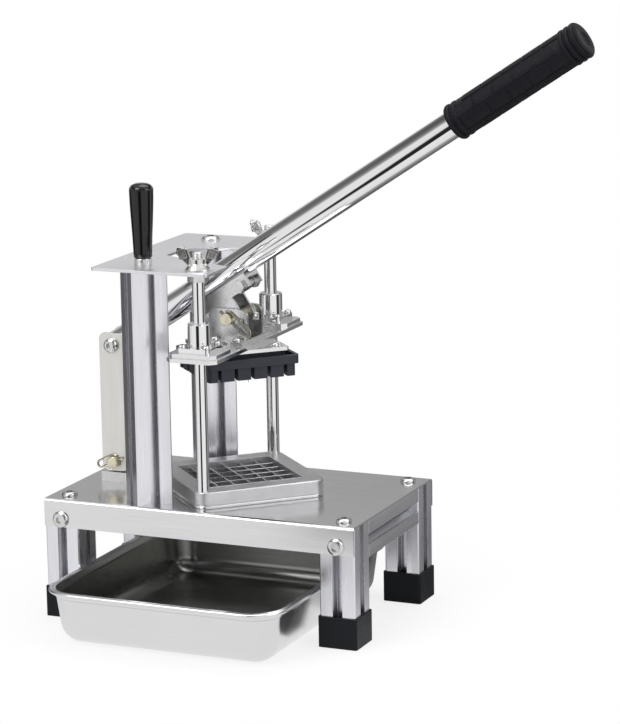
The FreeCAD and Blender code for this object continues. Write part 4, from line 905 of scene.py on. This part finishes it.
def make_world():
    """A white backdrop, and for reflections a bright dome with a dark band."""
    world = bpy.data.worlds.new("studio")
    bpy.context.scene.world = world
    world.use_nodes = True
    world.node_tree.nodes.clear()
    w = Wires(world.node_tree)
    way = w.add("ShaderNodeSeparateXYZ", i0=w.add("ShaderNodeTexCoord").outputs["Generated"])
    grey = w.ramp(w.map_range(way.outputs[2], -1.0, 1.0), DOME_TONES)
    dome = w.add("ShaderNodeBackground", Strength=1.0, Color=grey)
    soft = w.add("ShaderNodeBackground", Strength=0.62, Color=WHITE)
    plain = w.add("ShaderNodeBackground", Strength=1.0, Color=WHITE)
    rays = w.add("ShaderNodeLightPath").outputs
    lit = w.blend(rays["Is Diffuse Ray"], dome, soft)
    w.add("ShaderNodeOutputWorld", Surface=w.blend(rays["Is Camera Ray"], lit, plain))


def studio_glow(w):
    """A glow that follows the studio's tones."""
    where = w.add("ShaderNodeTexCoord").outputs["Object"]
    tones = w.add("ShaderNodeGroup", {"node_tree": GROUPS["tones"]}, Vector=where)
    return w.add("ShaderNodeEmission", Strength=1.0, Color=tones)


def make_floor():
    """A white floor that keeps a faint shadow close to the object."""
    corners = [(x * FLOOR_REACH, y * FLOOR_REACH, FLOOR_LEVEL)
               for x, y in ((-1, -1), (1, -1), (1, 1), (-1, 1))]
    floor = mesh_object("studio_floor", corners, [(0, 1, 2, 3)])
    material, w = empty_material("studio_floor")
    matt = w.add("ShaderNodeBsdfDiffuse", Color=FLOOR_GREY)
    glow = w.add("ShaderNodeEmission", Color=WHITE, Strength=1.0)
    where = w.add("ShaderNodeTexCoord").outputs["Object"]
    distance = w.add("ShaderNodeVectorMath", {"operation": "LENGTH"}, i0=where)
    faded = w.map_range(distance.outputs["Value"], 0.14, 0.30, 0.80, 1.0)
    rays = w.add("ShaderNodeLightPath").outputs
    lit = w.blend(rays["Is Camera Ray"], matt, w.blend(faded, matt, glow))
    w.add("ShaderNodeOutputMaterial",
          Surface=w.blend(rays["Is Glossy Ray"], lit, studio_glow(w)))
    floor.data.materials.append(material)


def make_studio_wall():
    """A low round wall that only reflections see, light and dark by direction."""
    verts = []
    faces = []
    for step in range(WALL_PANELS):
        turn = 2 * math.pi * step / WALL_PANELS
        for level in (0.0, WALL_HEIGHT):
            verts.append((WALL_RADIUS * math.cos(turn), WALL_RADIUS * math.sin(turn), level))
        low = 2 * step
        after = 2 * ((step + 1) % WALL_PANELS)
        faces.append((low, after, after + 1, low + 1))
    wall = mesh_object("studio_wall", verts, faces)
    material, w = empty_material("studio_wall")
    w.add("ShaderNodeOutputMaterial", Surface=studio_glow(w))
    wall.data.materials.append(material)
    wall.visible_camera = False
    wall.visible_diffuse = False
    wall.visible_shadow = False
    wall.visible_transmission = False


def make_lamps():
    """Soft boxes above and to both sides."""
    for name, (azimuth, height, distance, size, power) in LAMPS.items():
        data = bpy.data.lights.new(name, "AREA")
        data.shape = "SQUARE"
        data.size = size
        data.energy = power
        lamp = new_object(name, data)
        turn = CAMERA_AZIMUTH + math.radians(azimuth)
        place = Vector((math.sin(turn) * distance, -math.cos(turn) * distance, height))
        aim = (LAMP_AIM - place).to_track_quat("-Z", "Y")
        lamp.matrix_world = Matrix.Translation(place) @ aim.to_matrix().to_4x4()


# Settings

def colour_setting(name, description, default):
    """A colour property."""
    return bpy.props.FloatVectorProperty(name=name, description=description, subtype="COLOR",
                                         size=3, min=0.0, max=1.0, default=default)


class FryCutterColours(bpy.types.PropertyGroup):
    """Colours that a user would change."""

    steel: colour_setting("Sheet steel", "Colour of the table's folded sheet",
                          (0.74, 0.735, 0.745))
    aluminium: colour_setting("Profile", "Colour of the anodised legs, rails and posts",
                              (0.80, 0.80, 0.84))
    grip: colour_setting("Grip", "Colour of the lever's moulded grip",
                         (0.0075, 0.0075, 0.011))
    pin: colour_setting("Pins", "Colour of the passivated pins", (0.80, 0.76, 0.58))


class FryCutterSizes(bpy.types.PropertyGroup):
    """Sizes that a user would change."""

    edge_scale: bpy.props.FloatProperty(
        name="Edge easing",
        description="How far sharp edges are eased, as a share of the usual width",
        default=1.0, min=0.2, max=2.0, subtype="FACTOR")
    grip_bricks_along: bpy.props.IntProperty(
        name="Bricks along", description="Raised bricks along the grip",
        default=5, min=2, max=10)
    grip_bricks_around: bpy.props.IntProperty(
        name="Bricks around", description="Raised bricks round the grip",
        default=8, min=4, max=16)


# Operators

class FRYCUTTER_OT_finishes(bpy.types.Operator):
    """Make every finish"""

    bl_idname = "frycutter.finishes"
    bl_label = "Finishes"

    def execute(self, context):
        make_finishes(context.scene.fry_cutter_colours)
        return {"FINISHED"}


class FRYCUTTER_OT_table(bpy.types.Operator):
    """Dress the table, its rails and feet"""

    bl_idname = "frycutter.table"
    bl_label = "Table"

    def execute(self, context):
        ease_nodes(context.scene.fry_cutter_sizes.edge_scale, "table_top", "rail", "foot")
        return {"FINISHED"}


class FRYCUTTER_OT_press_frame(bpy.types.Operator):
    """Dress the posts, the legs and the top plate"""

    bl_idname = "frycutter.press_frame"
    bl_label = "Posts, legs and top plate"

    def execute(self, context):
        ease_nodes(context.scene.fry_cutter_sizes.edge_scale, "post", "top_sheet")
        return {"FINISHED"}


class FRYCUTTER_OT_plates(bpy.types.Operator):
    """Dress the die, the carriage, the links and the pusher"""

    bl_idname = "frycutter.plates"
    bl_label = "Die, carriage and links"

    def execute(self, context):
        ease_nodes(context.scene.fry_cutter_sizes.edge_scale,
                   "bright", "cast", "link", "bracket", "pusher")
        return {"FINISHED"}


class FRYCUTTER_OT_fasteners(bpy.types.Operator):
    """Dress the screws, bolts and nuts"""

    bl_idname = "frycutter.fasteners"
    bl_label = "Fasteners"

    def execute(self, context):
        ease_nodes(context.scene.fry_cutter_sizes.edge_scale, "zinc")
        return {"FINISHED"}


class FRYCUTTER_OT_bright_parts(bpy.types.Operator):
    """Finish the tube, rods, blades, pins and clips"""

    bl_idname = "frycutter.bright_parts"
    bl_label = "Tube, rods, blades and pins"

    def execute(self, context):
        paint_nodes()
        return {"FINISHED"}


class FRYCUTTER_OT_tray(bpy.types.Operator):
    """Make the pressed tray"""

    bl_idname = "frycutter.tray"
    bl_label = "Tray"

    def execute(self, context):
        make_tray()
        return {"FINISHED"}


class FRYCUTTER_OT_grip(bpy.types.Operator):
    """Make the moulded grip"""

    bl_idname = "frycutter.grip"
    bl_label = "Grip"

    def execute(self, context):
        make_grip(context.scene.fry_cutter_sizes)
        return {"FINISHED"}


class FRYCUTTER_OT_side_handle(bpy.types.Operator):
    """Make the turned side handle"""

    bl_idname = "frycutter.side_handle"
    bl_label = "Side handle"

    def execute(self, context):
        make_side_handle()
        return {"FINISHED"}


class FRYCUTTER_OT_wing_nuts(bpy.types.Operator):
    """Make the wing nuts and the studs' threads"""

    bl_idname = "frycutter.wing_nuts"
    bl_label = "Wing nuts"

    def execute(self, context):
        make_wing_nuts()
        make_threads()
        return {"FINISHED"}


class FRYCUTTER_OT_stage(bpy.types.Operator):
    """Make the camera, the floor, the lamps and the studio"""

    bl_idname = "frycutter.stage"
    bl_label = "Stage"

    def execute(self, context):
        make_camera()
        GROUPS["tones"] = tone_group()
        make_world()
        make_floor()
        make_studio_wall()
        make_lamps()
        context.scene.view_settings.view_transform = "Standard"
        return {"FINISHED"}


STEPS = (
    FRYCUTTER_OT_finishes, FRYCUTTER_OT_table, FRYCUTTER_OT_press_frame,
    FRYCUTTER_OT_plates, FRYCUTTER_OT_fasteners, FRYCUTTER_OT_bright_parts,
    FRYCUTTER_OT_tray, FRYCUTTER_OT_grip, FRYCUTTER_OT_side_handle,
    FRYCUTTER_OT_wing_nuts, FRYCUTTER_OT_stage,
)


class FRYCUTTER_PT_panel(bpy.types.Panel):
    """Lists the cutter's steps and settings"""

    bl_idname = "FRYCUTTER_PT_panel"
    bl_label = "French Fry Cutter"
    bl_space_type = "VIEW_3D"
    bl_region_type = "UI"
    bl_category = "Fry Cutter"

    def draw(self, context):
        for group in (context.scene.fry_cutter_sizes, context.scene.fry_cutter_colours):
            for name in group.__annotations__:
                self.layout.prop(group, name)
        for step in STEPS:
            self.layout.operator(step.bl_idname)


CLASSES = (FryCutterColours, FryCutterSizes) + STEPS + (FRYCUTTER_PT_panel,)


def register():
    """Registers the add-on's classes and settings."""
    for kind in CLASSES:
        bpy.utils.register_class(kind)
    bpy.types.Scene.fry_cutter_sizes = bpy.props.PointerProperty(type=FryCutterSizes)
    bpy.types.Scene.fry_cutter_colours = bpy.props.PointerProperty(type=FryCutterColours)


def unregister():
    """Takes the add-on's classes and settings out again."""
    del bpy.types.Scene.fry_cutter_colours
    del bpy.types.Scene.fry_cutter_sizes
    for kind in reversed(CLASSES):
        bpy.utils.unregister_class(kind)


def main():
    """Makes the whole cutter."""
    register()
    for step in STEPS:
        area, name = step.bl_idname.split(".")
        result = getattr(getattr(bpy.ops, area), name)()
        if result != {"FINISHED"}:
            raise RuntimeError(step.bl_idname + " did not finish")
    bpy.context.view_layer.update()


if __name__ == "__main__":
    main()
